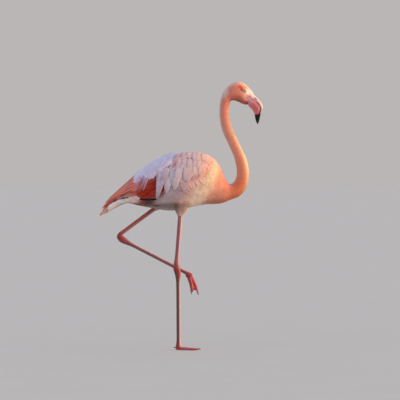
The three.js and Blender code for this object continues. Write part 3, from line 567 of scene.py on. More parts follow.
thighs = {
    "right": {"top": (14, -33, 604), "end": (7, -35, 545), "size": 1.0},
    "left": {"top": (-40, 28, 610), "end": (-96, 38, 566), "size": 0.72},
}
thighShape = {
    "at": [0, 0.3, 0.62, 0.82, 1, 1.14], "thick": [36, 30, 24.5, 19.5, 13, 8.8], "flat": 0.5,
    "rings": 30, "sides": 36,
    # colours down a thigh; the dark middle one is painted shade
    "colours": ["#A87C68", "#8E6858", "#DCBAAC"], "colourAt": [0, 0.6, 1.1],
    # where the belly over a thigh is: the distance along the form at x = 0, and the angle
    "bellyFrom": 352, "bellyAngle": 136,
}
# shade is painted shade: the skin grows darker between the two depths of shadeDepth under the coat
skinSpec = {"rings": 520, "headRings": 170, "sides": 120, "shade": 0.22, "shadeDepth": (0.6, 3)}


def limbPoint(start, end, t, turn, thick, flat):
    # start + (end - start) t, and round it thick * (sin turn, flat cos turn); the first is fore and aft
    start, end = np.asarray(start, float), np.asarray(end, float)
    way = unitVector(end - start)
    fore = unitVector(np.cross(np.array([0, -1.0, 0]), way))
    aside = np.cross(way, fore)
    t, turn, thick = np.broadcast_arrays(t, turn, thick)
    return (start + (end - start) * t[..., None] + fore * (thick * np.cos(turn))[..., None]
            + aside * (thick * flat * np.sin(turn))[..., None])


def thighPoint(word, t, turn, lift=0):
    # a limb whose radius goes through the thicknesses, and lift more
    thick = throughPoints(thighShape["at"], thighShape["thick"])(t) * thighs[word]["size"] + lift
    return limbPoint(thighs[word]["top"], thighs[word]["end"], t, turn, thick, thighShape["flat"])


def thighColours(t, points):
    # the belly's colours at the top, with their painted light and shade, going over to the thigh's, whose
    # dark middle is painted shade
    own = stepped(thighShape["colourAt"], [linearColour(code) for code in thighShape["colours"]], t)
    onBelly = np.full(points.shape[:-1], thighShape["bellyAngle"])
    belly = colourAndPaintedLight(thighShape["bellyFrom"] + points[..., 0], onBelly, points)
    return mix(belly, own, rise(0.4, 0.85, t)[..., None])


def skinParts():
    # the long form sunk by the coat's depth and raised by the wing's mass, and two thighs under it; the skin
    # is painted darker where it lies deep, as shade between the feathers
    headRings = skinSpec["headRings"]
    s = np.concatenate([np.linspace(0, napeBendAt, skinSpec["rings"] - headRings, endpoint=False),
                        np.linspace(napeBendAt, formLength, headRings)])
    s, angle = grid(s, np.arange(skinSpec["sides"]) * 360 / skinSpec["sides"])
    surface = overForm(s, angle, 0)
    points = overForm(s, angle, skinLift(s, angle) - eyeSpec["socket"] * eyeSocket(surface))
    # painted shade: the deeper the skin lies under the coat, the darker
    darker = skinSpec["shade"] * rise(*skinSpec["shadeDepth"], -skinLift(s, angle))
    parts = [tubePart(points, colourAndPaintedLight(s, angle, surface) * (1 - darker)[..., None])]
    t, turn = grid(np.linspace(0, 1, thighShape["rings"]), fullTurn(thighShape["sides"]))
    for word in thighs:
        points = thighPoint(word, t, turn)
        parts.append(tubePart(points, thighColours(t, points)))
    return parts


makePiece("skin", skinParts(), downySkin, [
    "torso", "neck_base", "neck_lower", "neck_middle", "neck_upper", "head", "thigh_right", "thigh_left"])


# feathers

# outlines from root to tip: places along a feather and shares of its width there
vaneShapes = {
    "broad": ([0, 0.08, 0.24, 0.48, 0.7, 0.86, 0.95, 1], [0.25, 0.62, 0.96, 1, 0.94, 0.72, 0.42, 0.05]),
    "long": ([0, 0.08, 0.22, 0.4, 0.6, 0.78, 0.91, 0.975, 1],
             [0.2, 0.6, 0.94, 1, 0.93, 0.74, 0.46, 0.2, 0.03]),
    "round": ([0, 0.08, 0.25, 0.5, 0.74, 0.9, 0.97, 1], [0.25, 0.6, 0.96, 1, 0.96, 0.74, 0.44, 0.08]),
    "small": ([0, 0.3, 0.72, 1], [0.45, 1, 0.8, 0.08]),
}
# sections across a feather: sideways and up, as shares of half the width and of the thickness
thinSection = ([-1, 0, 1], [0, 1, 0])
vaneSection = ([-1, -0.55, -0.06, 0.06, 0.55, 1, 0.5, -0.5], [0, 0.5, 1.1, 1.1, 0.5, 0, -0.5, -0.5])
bakePatch = 0.003    # each feather's own ground on the bake map
goldenShare = 0.6180339887    # of a turn, from one small feather to the next


def vanes(middle, up, half, thick, section, camber, roll):
    # rings across each shaft: middle + across * x * half + up * (thick y - camber x^2 half), turned by roll
    ahead = unitVector(np.gradient(middle, axis=1))
    across = unitVector(np.cross(up, ahead))
    up = np.cross(ahead, across)
    x, y = [np.asarray(v, float) for v in section]
    turned = across * np.cos(roll)[..., None] + up * np.sin(roll)[..., None]
    raised = up * np.cos(roll)[..., None] - across * np.sin(roll)[..., None]
    sideways = half[..., None] * x
    height = thick[..., None] * y - camber * half[..., None] * x ** 2
    return (middle[:, :, None] + turned[:, :, None] * sideways[..., None]
            + raised[:, :, None] * height[..., None])


def featherMaps(half, x, length, at, rootU, rootV):
    # a small patch round each root on the bake map, and the vane map, across and along in decimetres
    full = half.shape + (len(x),)
    vane = np.stack([np.broadcast_to(half[..., None] * x / 100, full),
                     np.broadcast_to((length[:, None] * at / 100)[..., None], full)], -1)
    bake = np.stack([np.broadcast_to(rootU[:, None, None] + x / 2 * bakePatch, full),
                     np.broadcast_to(rootV[:, None, None] + ((at - 0.5) * bakePatch)[:, None], full)], -1)
    return bake, vane


def featherPart(rootS, rootA, tipS, tipA, lifts, width, shape, section, thick, camber, roll, shadeOf,
                curve=0):
    # each shaft goes from root to tip in distance and angle, its height a parabola through three lifts
    at, wide = [np.asarray(v, float) for v in vaneShapes[shape]]
    s = mix(rootS[:, None], tipS[:, None], at)
    angle = mix(rootA[:, None], tipA[:, None], at ** (1 + curve))
    low, middle, high = lifts[:, :1], lifts[:, 1:2], lifts[:, 2:]
    lift = low * (1 - at) * (1 - 2 * at) + middle * 4 * at * (1 - at) + high * at * (2 * at - 1)
    centre = overForm(s, angle, lift)
    normal = formNormal(s, angle)
    half = width[:, None] * wide / 2
    body = thick[:, None] * mix(1, 0.45, at)
    points = vanes(centre, normal, half, body, section, camber, np.broadcast_to(roll[:, None], half.shape))
    x, y = [np.asarray(v, float) for v in section]
    length = np.linalg.norm(centre[:, -1] - centre[:, 0], axis=-1)
    rootU, rootV = np.mod(rootA, 360) / 360, np.clip(rootS, 0, formLength) / formLength
    maps = featherMaps(half, x, length, at, 0.01 + 0.98 * rootU, 0.01 + 0.98 * rootV)
    full = points.shape[:3]
    place = {"s": np.broadcast_to(s[..., None], full), "angle": np.broadcast_to(angle[..., None], full),
             "t": np.broadcast_to(at[:, None], full), "x": np.broadcast_to(x, full), "points": points,
             "number": np.arange(len(rootS))[:, None, None]}
    return tubePart(points, shadeOf(place), *maps, normal[:, :, None] * np.where(y < 0, -1.0, 1.0)[:, None])


def wobble(count, size):
    # random numbers between -size and size
    return luck.uniform(-size, size, count)


# the body coat: small feathers over the skin, smallest on the face

coatSpec = {
    "keys": [0, 60, 140, 300, 480, 520, 560, 620, 900, 980, 1030, 1060, 1092],
    "length": [24, 30, 36, 36, 30, 24, 19, 16, 13, 10, 7.5, 5, 3.6],
    "width": [7, 8, 10, 11, 9.5, 8, 6.6, 5.6, 4.6, 3.8, 2.9, 2.2, 1.6],
    "cover": 0.15,   # the share of a feather's length times width that each gets as its own ground
    "unevenSize": 0.16, "unevenPlace": 1.5, "unevenTurn": 0.05, "unevenTip": 0.16, "roll": 0.06,
    # how far a root is sunk, and the middle and the tip raised as shares of the coat's depth
    "rootDeep": 0.4, "middleUp": 0.55, "tipUp": 0.82,
    "thick": 0.05, "camber": 0.05,
    # how far tips sag on the flanks; a step of 15 mm round the form is about 900 / half width degrees
    "sag": 0.24, "sagShare": 0.12, "step": 15, "stepTurn": 900, "narrowest": 6,
    # the painted shade at the root and painted light at the tip, and how red, green and blue change in a
    # warmer feather
    "shades": (0.94, 1.03), "warmWay": (0.3, -0.6, -1.0),
    # tip is the colour of painted light on the exposed ends of the feathers, growing from paleFrom along
    # each
    "tip": "#FFE9DC", "paintedTipLight": 0.12, "paleFrom": 0.6, "uneven": 0.05, "warm": 0.05,
}
# the bare strip of the face: a point on its edge, the way it faces, and the chin's line that it stays over
bareSpec = {
    "edge": (268, 1030), "way": (0.72, -0.69), "fade": (-10, -4),
    "chin": (262, 1008), "chinSlope": -0.2, "chinFade": (-10, -5),
}


def coatSize(s):
    # length and width of a coat feather, straight lines between the keys
    return [np.interp(s, coatSpec["keys"], coatSpec[key]) for key in ("length", "width")]


def coatRoots(fromS, toS, startAngle):
    # an even spread: distances by the running sum of ground over feather size, angles by a golden step
    table = np.linspace(fromS, toS, 400)
    rings = formPoint(table[:, None], np.arange(0, 361, 12))
    girth = np.linalg.norm(np.diff(rings, axis=1), axis=-1).sum(1)
    length, width = coatSize(table)
    each = length * width * coatSpec["cover"]
    running = np.concatenate([[0], np.cumsum(girth[:-1] * np.diff(table) / each[:-1])])
    order = np.arange(int(running[-1])) + 0.5
    s = np.interp(order, running, table)
    angle = np.mod(order * 360 * goldenShare + startAngle, 360)
    return s + wobble(len(s), coatSpec["unevenPlace"]), angle


def bareFace(points):
    # 1 where the face has no feathers: a strip from the eye to the bill, the lids, and the chin's notch
    x, z = points[..., 0], points[..., 2]
    (edgeX, edgeZ), (wayX, wayZ), (chinX, chinZ) = bareSpec["edge"], bareSpec["way"], bareSpec["chin"]
    ahead = (x - edgeX) * wayX + (z - edgeZ) * wayZ
    chin = chinZ + (x - chinX) * bareSpec["chinSlope"]
    strip = rise(*bareSpec["fade"], ahead) * rise(*bareSpec["chinFade"], z - chin)
    return np.maximum(strip, fromEye(points) < eyeSpec["radius"] + eyeSpec["lidBare"])


def coatPart(fromS, toS, startAngle, keep):
    # feathers rooted a little inside the skin, their tips lifted over it
    s, angle = coatRoots(fromS, toS, startAngle)
    kept = keep(s, fold(angle), overForm(s, angle, 0))
    s, angle = s[kept], angle[kept]
    count = len(s)
    length, width = [size * (1 + wobble(count, coatSpec["unevenSize"])) for size in coatSize(s)]
    base = skinLift(s, angle)
    tipS = s - length
    tipBase = skinLift(np.maximum(tipS, 0), angle)
    depth = stepped(longForm["coatKeys"], longForm["coatDepth"], s)
    tipLift = tipBase + depth * (coatSpec["tipUp"] + wobble(count, coatSpec["unevenTip"]))
    middleLift = (base + tipBase) / 2 + depth * coatSpec["middleUp"]
    stepTurn = coatSpec["stepTurn"] / np.maximum(cutAt(s)[:, 4], coatSpec["narrowest"])
    sag = np.where(s < breastAt, np.sin(np.radians(angle)) * coatSpec["sag"], 0)
    sag = sag * length / coatSpec["step"] * stepTurn * coatSpec["sagShare"]
    tipA = angle + sag + wobble(count, coatSpec["unevenTurn"]) * stepTurn
    bright = 1 + wobble(count, coatSpec["uneven"])
    warm = wobble(count, coatSpec["warm"])

    def shadeOf(place):
        colours = colourAndPaintedLight(place["s"], place["angle"], place["points"])
        t, number = place["t"], place["number"]
        # painted shade towards the root, painted light towards the tip
        colours = colours * bright[number][..., None] * mix(*coatSpec["shades"], t)[..., None]
        colours = tint(colours, coatSpec["tip"], coatSpec["paintedTipLight"] * rise(coatSpec["paleFrom"], 1, t))
        return colours * (1 + warm[number][..., None] * np.array(coatSpec["warmWay"]))

    lifts = np.stack([base - coatSpec["rootDeep"], middleLift, tipLift], 1)
    return featherPart(
        s, angle, tipS, tipA, lifts, width, "small", thinSection, width * coatSpec["thick"],
        coatSpec["camber"], wobble(count, coatSpec["roll"]), shadeOf)


# the ground under a wing's own feathers, in distance and in degrees from its top to its bottom there, and
# where the tail's feathers end
hiddenCoat = {"along": [200, 290, 320, 428], "top": 14, "bottom": [104, 104, 84, 74], "tailEnd": 60}


def trunkKept(s, angle, points):
    # none where the feathers of wing and tail hide them
    along = hiddenCoat["along"]
    bottom = stepped(along, hiddenCoat["bottom"], s)
    underWing = (s > along[0]) & (s < along[-1]) & (angle > hiddenCoat["top"]) & (angle < bottom)
    return ~underWing & (s > hiddenCoat["tailEnd"])


def headKept(s, angle, points):
    # none on the bare face
    return bareFace(points) < 0.5


def allKept(s, angle, points):
    # feathers everywhere
    return s > 0


# from and to along the form, the first feather's angle, where feathers are kept, slot and softness
coatPieces = {
    "coatTrunk": (20, 548, 3, trunkKept, "body_feathers", 0.75),
    "coatNeck": (540, 975, 11, allKept, "neck_feathers", 0.8),
    "coatHead": (968, 1095, 29, headKept, "neck_feathers", 0.85),
}
for name, (*place, slotName, softness) in coatPieces.items():
    makePiece(name, [coatPart(*place)], bodyFeather, soft=softness)


# the tufts on a thigh: how many, where their roots begin and how far down they go, and their sizes there;
# the belly by the left thigh faces along bellyLie, and by the right one along its mirror image
thighTufts = {
    "count": 900, "from": 0.05, "reach": 0.93, "length": [24, 9], "width": [9, 4.5], "thick": 0.4,
    "sunk": 0.8, "lifted": 2.6, "camber": 0.05, "longest": 1.35,
    "unevenLength": 0.2, "unevenLift": 0.6, "unevenRoll": 0.15, "uneven": 0.08,
    # front is the colour of painted sunlight on a thigh's forward side
    "front": "#FFDCC8", "paintedSunShare": 0.6, "bellyLie": (0.08, 0.84, -0.54),
}


def thighCoatParts():
    # tufts down each thigh, and a ragged skirt of them over the bare leg
    parts = []
    at, wide = [np.asarray(v, float) for v in vaneShapes["small"]]
    count = thighTufts["count"]
    order = np.arange(count) + 0.5
    rootT = thighTufts["from"] + thighTufts["reach"] * order / count
    turn = np.mod(order * 2 * np.pi * goldenShare, 2 * np.pi)
    for word, thigh in thighs.items():
        length = np.interp(rootT, [0, 1], thighTufts["length"])
        length = length * (1 + wobble(count, thighTufts["unevenLength"]))
        width = np.interp(rootT, [0, 1], thighTufts["width"])
        t = rootT[:, None] + length[:, None] * at / np.linalg.norm(np.subtract(thigh["end"], thigh["top"]))
        uneven = wobble(count, thighTufts["unevenLift"])[:, None] * at
        lift = -thighTufts["sunk"] + thighTufts["lifted"] * at + uneven
        centre = thighPoint(word, np.minimum(t, thighTufts["longest"]), turn[:, None], lift)
        axis = limbPoint(thigh["top"], thigh["end"], t, turn[:, None], 0, 1)
        normal = unitVector(centre - axis + 1e-6)
        half = width[:, None] * wide / 2
        roll = wobble(count, thighTufts["unevenRoll"])[:, None]
        points = vanes(centre, normal, half, np.broadcast_to(thighTufts["thick"], half.shape), thinSection,
                       thighTufts["camber"], np.broadcast_to(roll, half.shape))
        # painted sunlight: the forward side of the thigh paler
        lit = thighTufts["paintedSunShare"] * rise(0.4, 0.95, np.cos(turn))[:, None, None]
        colours = thighColours(np.broadcast_to(t[..., None], points.shape[:3]), points)
        bright = 1 + wobble(count, thighTufts["uneven"])[:, None, None, None]
        colours = tint(colours, thighTufts["front"], lit) * bright
        rootV = 0.02 + 0.45 * rootT + (0.5 if word == "left" else 0)
        maps = featherMaps(half, np.array(thinSection[0], float), length, at,
                           0.01 + 0.98 * (turn / 2 / np.pi), rootV)
        # the topmost tufts lie with the belly, so that the thigh has no rim under them
        bellyLie = thighTufts["bellyLie"] * np.array([1, -sideSign[word], 1])
        lie = unitVector(mix(bellyLie, normal, rise(0.35, 0.8, t)[..., None]))
        parts.append(tubePart(points, colours, *maps, lie[:, :, None]))
    return parts


makePiece("coatThighs", thighCoatParts(), bodyFeather, soft=0.7)
print("body coat laid")


# the folded wings: tiers of vanes from the lowest to the top one

# each guide is one feather of a tier: root distance and angle, tip distance and angle, its heights over the
# form at the middle and the tip, and its width; the others lie between the guides, and the rows between
# low and high
wingTiers = {
    "primaries": {
        "count": 5, "shape": "long", "even": 0.9, "patchy": 0, "curve": 0.25,
        "low": [(290, 127, 192, 125, 1.5, 1.2, 10), (288, 123, 176, 119, 2, 1.5, 12),
                (284, 116, 150, 106, 2.5, 2, 13)],
        "colours": [("#0E0808", "#0C0606", "#180C0C"), ("#301010", "#401410", "#8A3020")],
    },
    "underTertials": {
        "count": 14, "rows": 3, "shape": "broad", "even": 0.93,
        "low": [(190, 108, 110, 80, 2.5, 3, 28), (180, 60, 100, 48, 4.5, 5, 30),
                (190, 14, 92, 12, 5.5, 8, 30)],
        "high": [(280, 112, 190, 112, 3.5, 4, 28), (280, 60, 190, 58, 5, 6, 30),
                 (280, 14, 190, 13, 4, 5, 30)],
        "colours": [("#9A2810", "#A83418", "#B84426"), ("#B04028", "#BC5038", "#CC6648"),
                    ("#D07C6C", "#D88470", "#E8A890")],
    },
    "tertials": {
        "count": 24, "rows": 2, "shape": "long", "roll": -0.04, "even": 0.88, "curve": 0.9,
        "low": [(284, 122, 66, 62, 3.5, 2.5, 20), (300, 78, 44, 42, 6.5, 7, 23),
                (330, 15, 30, 12, 7, 11, 24)],
        "high": [(300, 118, 104, 84, 5, 4, 20), (326, 72, 78, 48, 7.5, 8.5, 23),
                 (350, 15, 58, 12, 7.5, 12, 24)],
        # the lowest guide's tips are made paler than their own red as painted light, for light through the
        # thin tips in shadow
        "colours": [("#8A1C0A", "#C04426", "#E66E49"), ("#B0361A", "#FF9482", "#E0643F"),
                    ("#D8705C", "#DC6C52", "#EC9070")],
    },
    "coverts": {
        "count": 12, "rows": 2, "shape": "round", "roll": -0.04, "even": 0.9, "curve": 0.25,
        "low": [(290, 106, 240, 122, 7.5, 6.5, 18), (310, 84, 178, 104, 8, 7.5, 22),
                (330, 46, 166, 40, 5, 7, 24)],
        "high": [(298, 100, 258, 120, 8, 7, 18), (316, 78, 214, 90, 8.5, 8, 22),
                 (340, 46, 200, 44, 4, 7, 24)],
        "colours": [("#7A0E02", "#8A1404", "#A42C0E"), ("#821404", "#961C0A", "#B43A20"),
                    ("#C0604E", "#DC8A80", "#E4A0A6")],
    },
    "mantle": {
        "count": 16, "rows": 5, "shape": "broad", "roll": -0.02, "even": 0.975,
        "low": [(274, 52, 244, 73, 10.5, 9, 21), (258, 42, 205, 66, 10.5, 9, 24),
                (244, 34, 177, 59, 10, 8.5, 24), (250, 18, 166, 39, 9, 8, 25),
                (262, 4, 162, 5, 8.5, 8.5, 25)],
        "high": [(330, 42, 286, 56, 11, 9.5, 20), (350, 36, 296, 50, 9.5, 9, 22),
                 (366, 28, 302, 38, 8, 8, 22), (380, 18, 306, 22, 5, 6.5, 23),
                 (386, 4, 306, 5, 2.5, 5, 24)],
        # the grey lilac is painted shade: a whitish pink mantle as it looks in cool sky light
        "colours": [("#D8CCD2", "#DCD2DA", "#D8BCCC"), ("#DAD8E2", "#DCD8E4", "#DCC4D4"),
                    ("#DCDAE4", "#E2DEE8", "#ECE2E8")],
    },
    "mantlePoint": {
        "count": 5, "shape": "long", "roll": -0.03, "even": 0.97, "curve": 0.35,
        "low": [(240, 44, 199, 72, 11, 9, 13), (244, 48, 206, 101, 11.5, 8.5, 11),
                (250, 50, 214, 80, 11.5, 9, 12)],
        "colours": [("#CFC6D2", "#C0AAB6", "#B48088"), ("#CDC8D8", "#C0A0AC", "#BC6864"),
                    ("#CFC6D2", "#C0AAB6", "#B48088")],
    },
    "longScapulars": {
        "count": 6, "rows": 2, "shape": "long", "roll": -0.03, "even": 0.97,
        "low": [(304, 56, 282, 104, 11, 9, 14), (290, 48, 268, 122, 11, 9, 15),
                (276, 42, 257, 119, 11, 9, 15)],
        "high": [(318, 48, 300, 94, 11.5, 9.5, 17), (300, 40, 282, 88, 11.5, 9.5, 18),
                 (286, 32, 264, 84, 11.5, 9.5, 18)],
        "colours": [("#D0C6CE", "#C6B8C2", "#B49AA4"), ("#CFC8D2", "#C8BCC8", "#B8A4B0")],
    },
    "scapulars": {
        "count": 8, "rows": 3, "shape": "broad", "roll": -0.035, "even": 0.96,
        "stagger": 0.15, "camber": 0.03,
        "low": [(322, 58, 300, 104, 9, 5, 32), (358, 50, 340, 100, 11, 8, 34),
                (404, 46, 394, 92, 11.5, 10, 33), (446, 50, 444, 86, 11.5, 10.5, 30)],
        "high": [(352, 14, 330, 50, 10, 10, 32), (392, 14, 374, 48, 10, 10.5, 34),
                 (430, 14, 418, 48, 9.5, 10.5, 33), (466, 24, 458, 54, 8.5, 9.5, 29)],
        "colours": [("#D6C8CE", "#CCC2CA", "#C2B4BC"), ("#EECEC2", "#D6C0BC", "#C8B4B4"),
                    ("#F0BCA4", "#ECC0AC", "#E8BEAC")],
        "untidy": 2.2,
    },
    "flankRipples": {
        "count": 9, "shape": "long", "roll": 0.1, "even": 0.95,
        "low": [(350, 90, 384, 116, 9.5, 3.5, 11), (386, 86, 420, 108, 11, 6, 12),
                (414, 78, 450, 98, 11.5, 9.5, 12)],
        # the mauve roots and pale tips are painted shade and painted highlight on each ripple
        "colours": [("#B08890", "#CFA6A8", "#E0BCB4"), ("#C89080", "#ECC0AC", "#F6D0B4")],
    },
}


# what a tier has unless it says otherwise, and how far its feathers stray: rows of feathers, their roll in
# radians, the share of the patches' colours they take, the curve of a shaft, and how much rows are shifted
tierSpec = {
    "rows": 1, "roll": 0, "patchy": 1, "curve": 0.2, "untidy": 1, "stagger": 0.5, "leastPatchTaken": 0.35,
    "camber": 0.06, "thick": 0.4,
    "unevenTip": 0.06, "unevenTurn": 0.04, "unevenLift": 0.3, "unevenWidth": 0.1, "unevenRoll": 0.05,
    # the pale edge is painted light on the exposed sides of a vane, and the root shade painted shade at its
    # covered root
    "rowLift": 0.35, "buried": 1.5, "edge": "#FFF4EC", "paintedEdgeLight": 0.07, "rootShade": 0.94,
    "millimetres": 1.4,    # for each degree round the wing, about
    "redWay": (0.2, -0.8, -1.0),    # how red, green and blue change in a redder feather
}


def tierPart(tier, sign):
    # the guides stand at even shares across the tier, and feather i of n and row j of m lie between them
    parts = []
    tier = tierSpec | tier
    count, rows, even, untidy = tier["count"], tier["rows"], tier["even"], tier["untidy"]
    low = np.array(tier["low"], float)
    high = np.array(tier.get("high", tier["low"]), float)
    guideColours = np.array([[linearColour(code) for code in codes] for codes in tier["colours"]])
    guideColourAt = throughPoints(np.linspace(0, 1, len(guideColours)), guideColours.reshape(len(guideColours), 9))
    for row in range(rows):
        share = (np.arange(count) + (row % 2) * tier["stagger"]) / (count - 0.5)
        guides = mix(low, high, row / max(rows - 1, 1))
        feather = throughPoints(np.linspace(0, 1, len(guides)), guides)(share)
        rootS, rootA, tipS, tipA, middleLift, tipLift, width = feather.T
        rootA, tipA = np.maximum(rootA, 3), np.maximum(tipA, 4)
        length = np.hypot(rootS - tipS, (rootA - tipA) * tier["millimetres"])
        tipS = tipS + wobble(count, tier["unevenTip"]) * length * untidy
        tipA = tipA + wobble(count, tier["unevenTurn"]) * length * untidy
        over = row * tier["rowLift"] + wobble(count, tier["unevenLift"])
        buried = skinLift(rootS, rootA) - tier["buried"]
        lifts = np.stack([buried, middleLift + over, tipLift + over], 1)
        width = width * (1 + wobble(count, tier["unevenWidth"]))
        bright, red = luck.uniform(even, 2 - even, count), wobble(count, 1 - even)
        patchTaken = luck.uniform(tier["leastPatchTaken"], 1, count)
        own = guideColourAt(share).reshape(count, 3, 3)

        def shadeOf(place):
            number, t = place["number"], place["t"][..., None]
            full = place["points"].shape
            roots, middles, tips = [np.broadcast_to(own[number, i], full) for i in (0, 1, 2)]
            colours = np.where(t < 0.5, mix(roots, middles, 2 * t), mix(middles, tips, 2 * t - 1))
            # the patches hold painted light and shade as well as the plumage's own colours
            painted = softPatches(colours, place["points"], colourTable["patches"])
            colours = mix(colours, painted, (patchTaken[number] * tier["patchy"])[..., None])
            colours = colours * bright[number][..., None]
            colours = colours * (1 + red[number][..., None] * np.array(tier["redWay"]))
            # painted light on the vane's edges, painted shade at its root
            paintedEdgeLight = tier["paintedEdgeLight"] * np.abs(place["x"]) ** 4 * rise(0.1, 0.5, place["t"])
            darkRoot = mix(tier["rootShade"], 1.0, rise(0, 0.3, place["t"]))[..., None]
            return tint(colours, tier["edge"], paintedEdgeLight) * darkRoot

        parts.append(featherPart(
            rootS, sign * rootA, tipS, sign * tipA, lifts, width, tier["shape"], vaneSection,
            np.full(count, tier["thick"]), tier["camber"],
            sign * (tier["roll"] + wobble(count, tier["unevenRoll"])), shadeOf, tier["curve"]))
    return parts


for word, sign in sideSign.items():
    feathers = [part for tier in wingTiers.values() for part in tierPart(tier, sign)]
    makePiece("wingFeathers" + word.capitalize(), feathers, vaneFeather,
              ["wing_" + word], soft=0.6)


# tail and the fluffy coverts under it

tailTiers = {
    "tail": {
        "count": 8, "shape": "long", "even": 0.86, "patchy": 0,
        "low": [(124, 150, 24, 150, -0.6, 0, 16), (128, 16, 1, 20, 0.6, 1.6, 18)],
        # these colours are paler than the feathers' own as painted light, for light through the thin tail in
        # the shade under the wings
        "colours": [("#E0A496", "#E7A088", "#F3D0BC"), ("#D9735A", "#E07A50", "#F4B48C")],
    },
    "underTail": {
        "count": 18, "rows": 9, "shape": "long", "roll": 0.03, "even": 0.88,
        "untidy": 2.5, "leastPatchTaken": 0.8,
        "low": [(92, 178, 34, 176, 0.5, 3, 8), (96, 160, 36, 152, 1, 4, 8),
                (98, 130, 42, 116, 2, 4.5, 7.5), (98, 90, 50, 72, 3, 4.5, 7)],
        "high": [(212, 178, 164, 176, -6, -4, 8.5), (214, 158, 162, 156, -5, -3, 8.5),
                 (216, 136, 164, 132, -2, -1, 8), (222, 120, 172, 112, 0.5, 2, 7)],
        "colours": [("#8A5A4C", "#A07468", "#D0AC9E"), ("#90604F", "#B08A7C", "#DCC0B4"),
                    ("#D8ACA0", "#F4DCD2", "#FFF0E6"), ("#F4DCD4", "#FFF0E8", "#FFF8F2")],
    },
}
tailParts = []
for sign in sideSign.values():
    for tier in tailTiers.values():
        tailParts += tierPart(tier, sign)
makePiece("tailFeathers", tailParts, vaneFeather, ["tail"], soft=0.5)
print("wings and tail laid")


# bill

billSpec = {
    # culmen x and z, mouth line x and z, keel x and z, half the width, from base to tip
    "cuts": [
        (302.5, 1021, 292.5, 1001.5, 280.5, 975.5, 14.6), (315.5, 1007.5, 306.5, 995, 288.5, 967, 14),
        (329.5, 991.5, 318.5, 985, 296, 959.5, 13.4), (336.5, 978, 325.5, 973, 300.5, 952, 12.6),
        (337, 967, 328.2, 960.5, 303.2, 945, 11.4), (331.5, 955, 326, 948.5, 304.5, 938, 9.8),
        (328, 941, 322, 937.5, 306, 931, 7.6), (325, 926.5, 318.5, 922, 308.5, 919.5, 5.2),
        (321.5, 913, 317, 911, 311.5, 911, 3.4), (318, 904, 317, 903.5, 315.8, 903.8, 1.3),
    ],
    "mouthShare": 0.48, "upperWidth": 0.95, "gap": 0.15, "overlap": 7, "drawnIn": 0.07,
    # by the number of the cut: where the head's section ends, and where the groove starts and ends
    "fromHead": (1, 2.4), "grooveFrom": (1.5, 3), "grooveTo": (6.5, 8),
    "groove": 0.035, "grooveAt": 0.52, "grooveWide": 0.1,
    "rings": 170, "sides": 56, "flatSides": 14,
    # the roundness of the upper and the lower half, and how wide their dark edges grow
    "power": (0.85, 0.72), "edgeWide": (3.2, 4.2),
    "nostril": (308, 1004.5, 8.5, 1.6, -48), "nostrilDepth": 2.2, "nostrilFrom": 3,
    "blackFrom": (938, 945), "tipX": 310, "tipSlope": 0.25,    # the black tip's height, and how it slopes
    # ridge is the pale base of the upper bill, and a painted highlight along the culmen
    "upper": "#D8B0A2", "ridge": "#FBE4D4", "gape": "#C8949C", "lower": "#CE6066", "lowerPale": "#E49A9C",
    "keel": "#D68A80", "edge": "#200A08", "black": "#060404", "nostrilColour": "#4A1C14",
}


def billCuts():
    # the first two cuts are the head's own, the second where it ends, with the mouth line at its share
    rows = []
    for s in (formLength - billSpec["overlap"], formLength):
        cut = cutAt(s)
        rows.append(np.concatenate([cut[:2], mix(cut[:2], cut[2:4], billSpec["mouthShare"]), cut[2:5]]))
    rows = np.vstack([rows, billSpec["cuts"]])
    return throughPoints(np.arange(len(rows)), rows), len(rows) - 1


def headSide(share):
    # the head's half width, sqrt(1 - up^2) (1 + heavy up), up = 2 share - 1 from the chin up
    up = 2 * share - 1
    return np.sqrt(np.maximum(1 - up ** 2, 0)) * (1 + longForm["headTopHeavy"] * up)


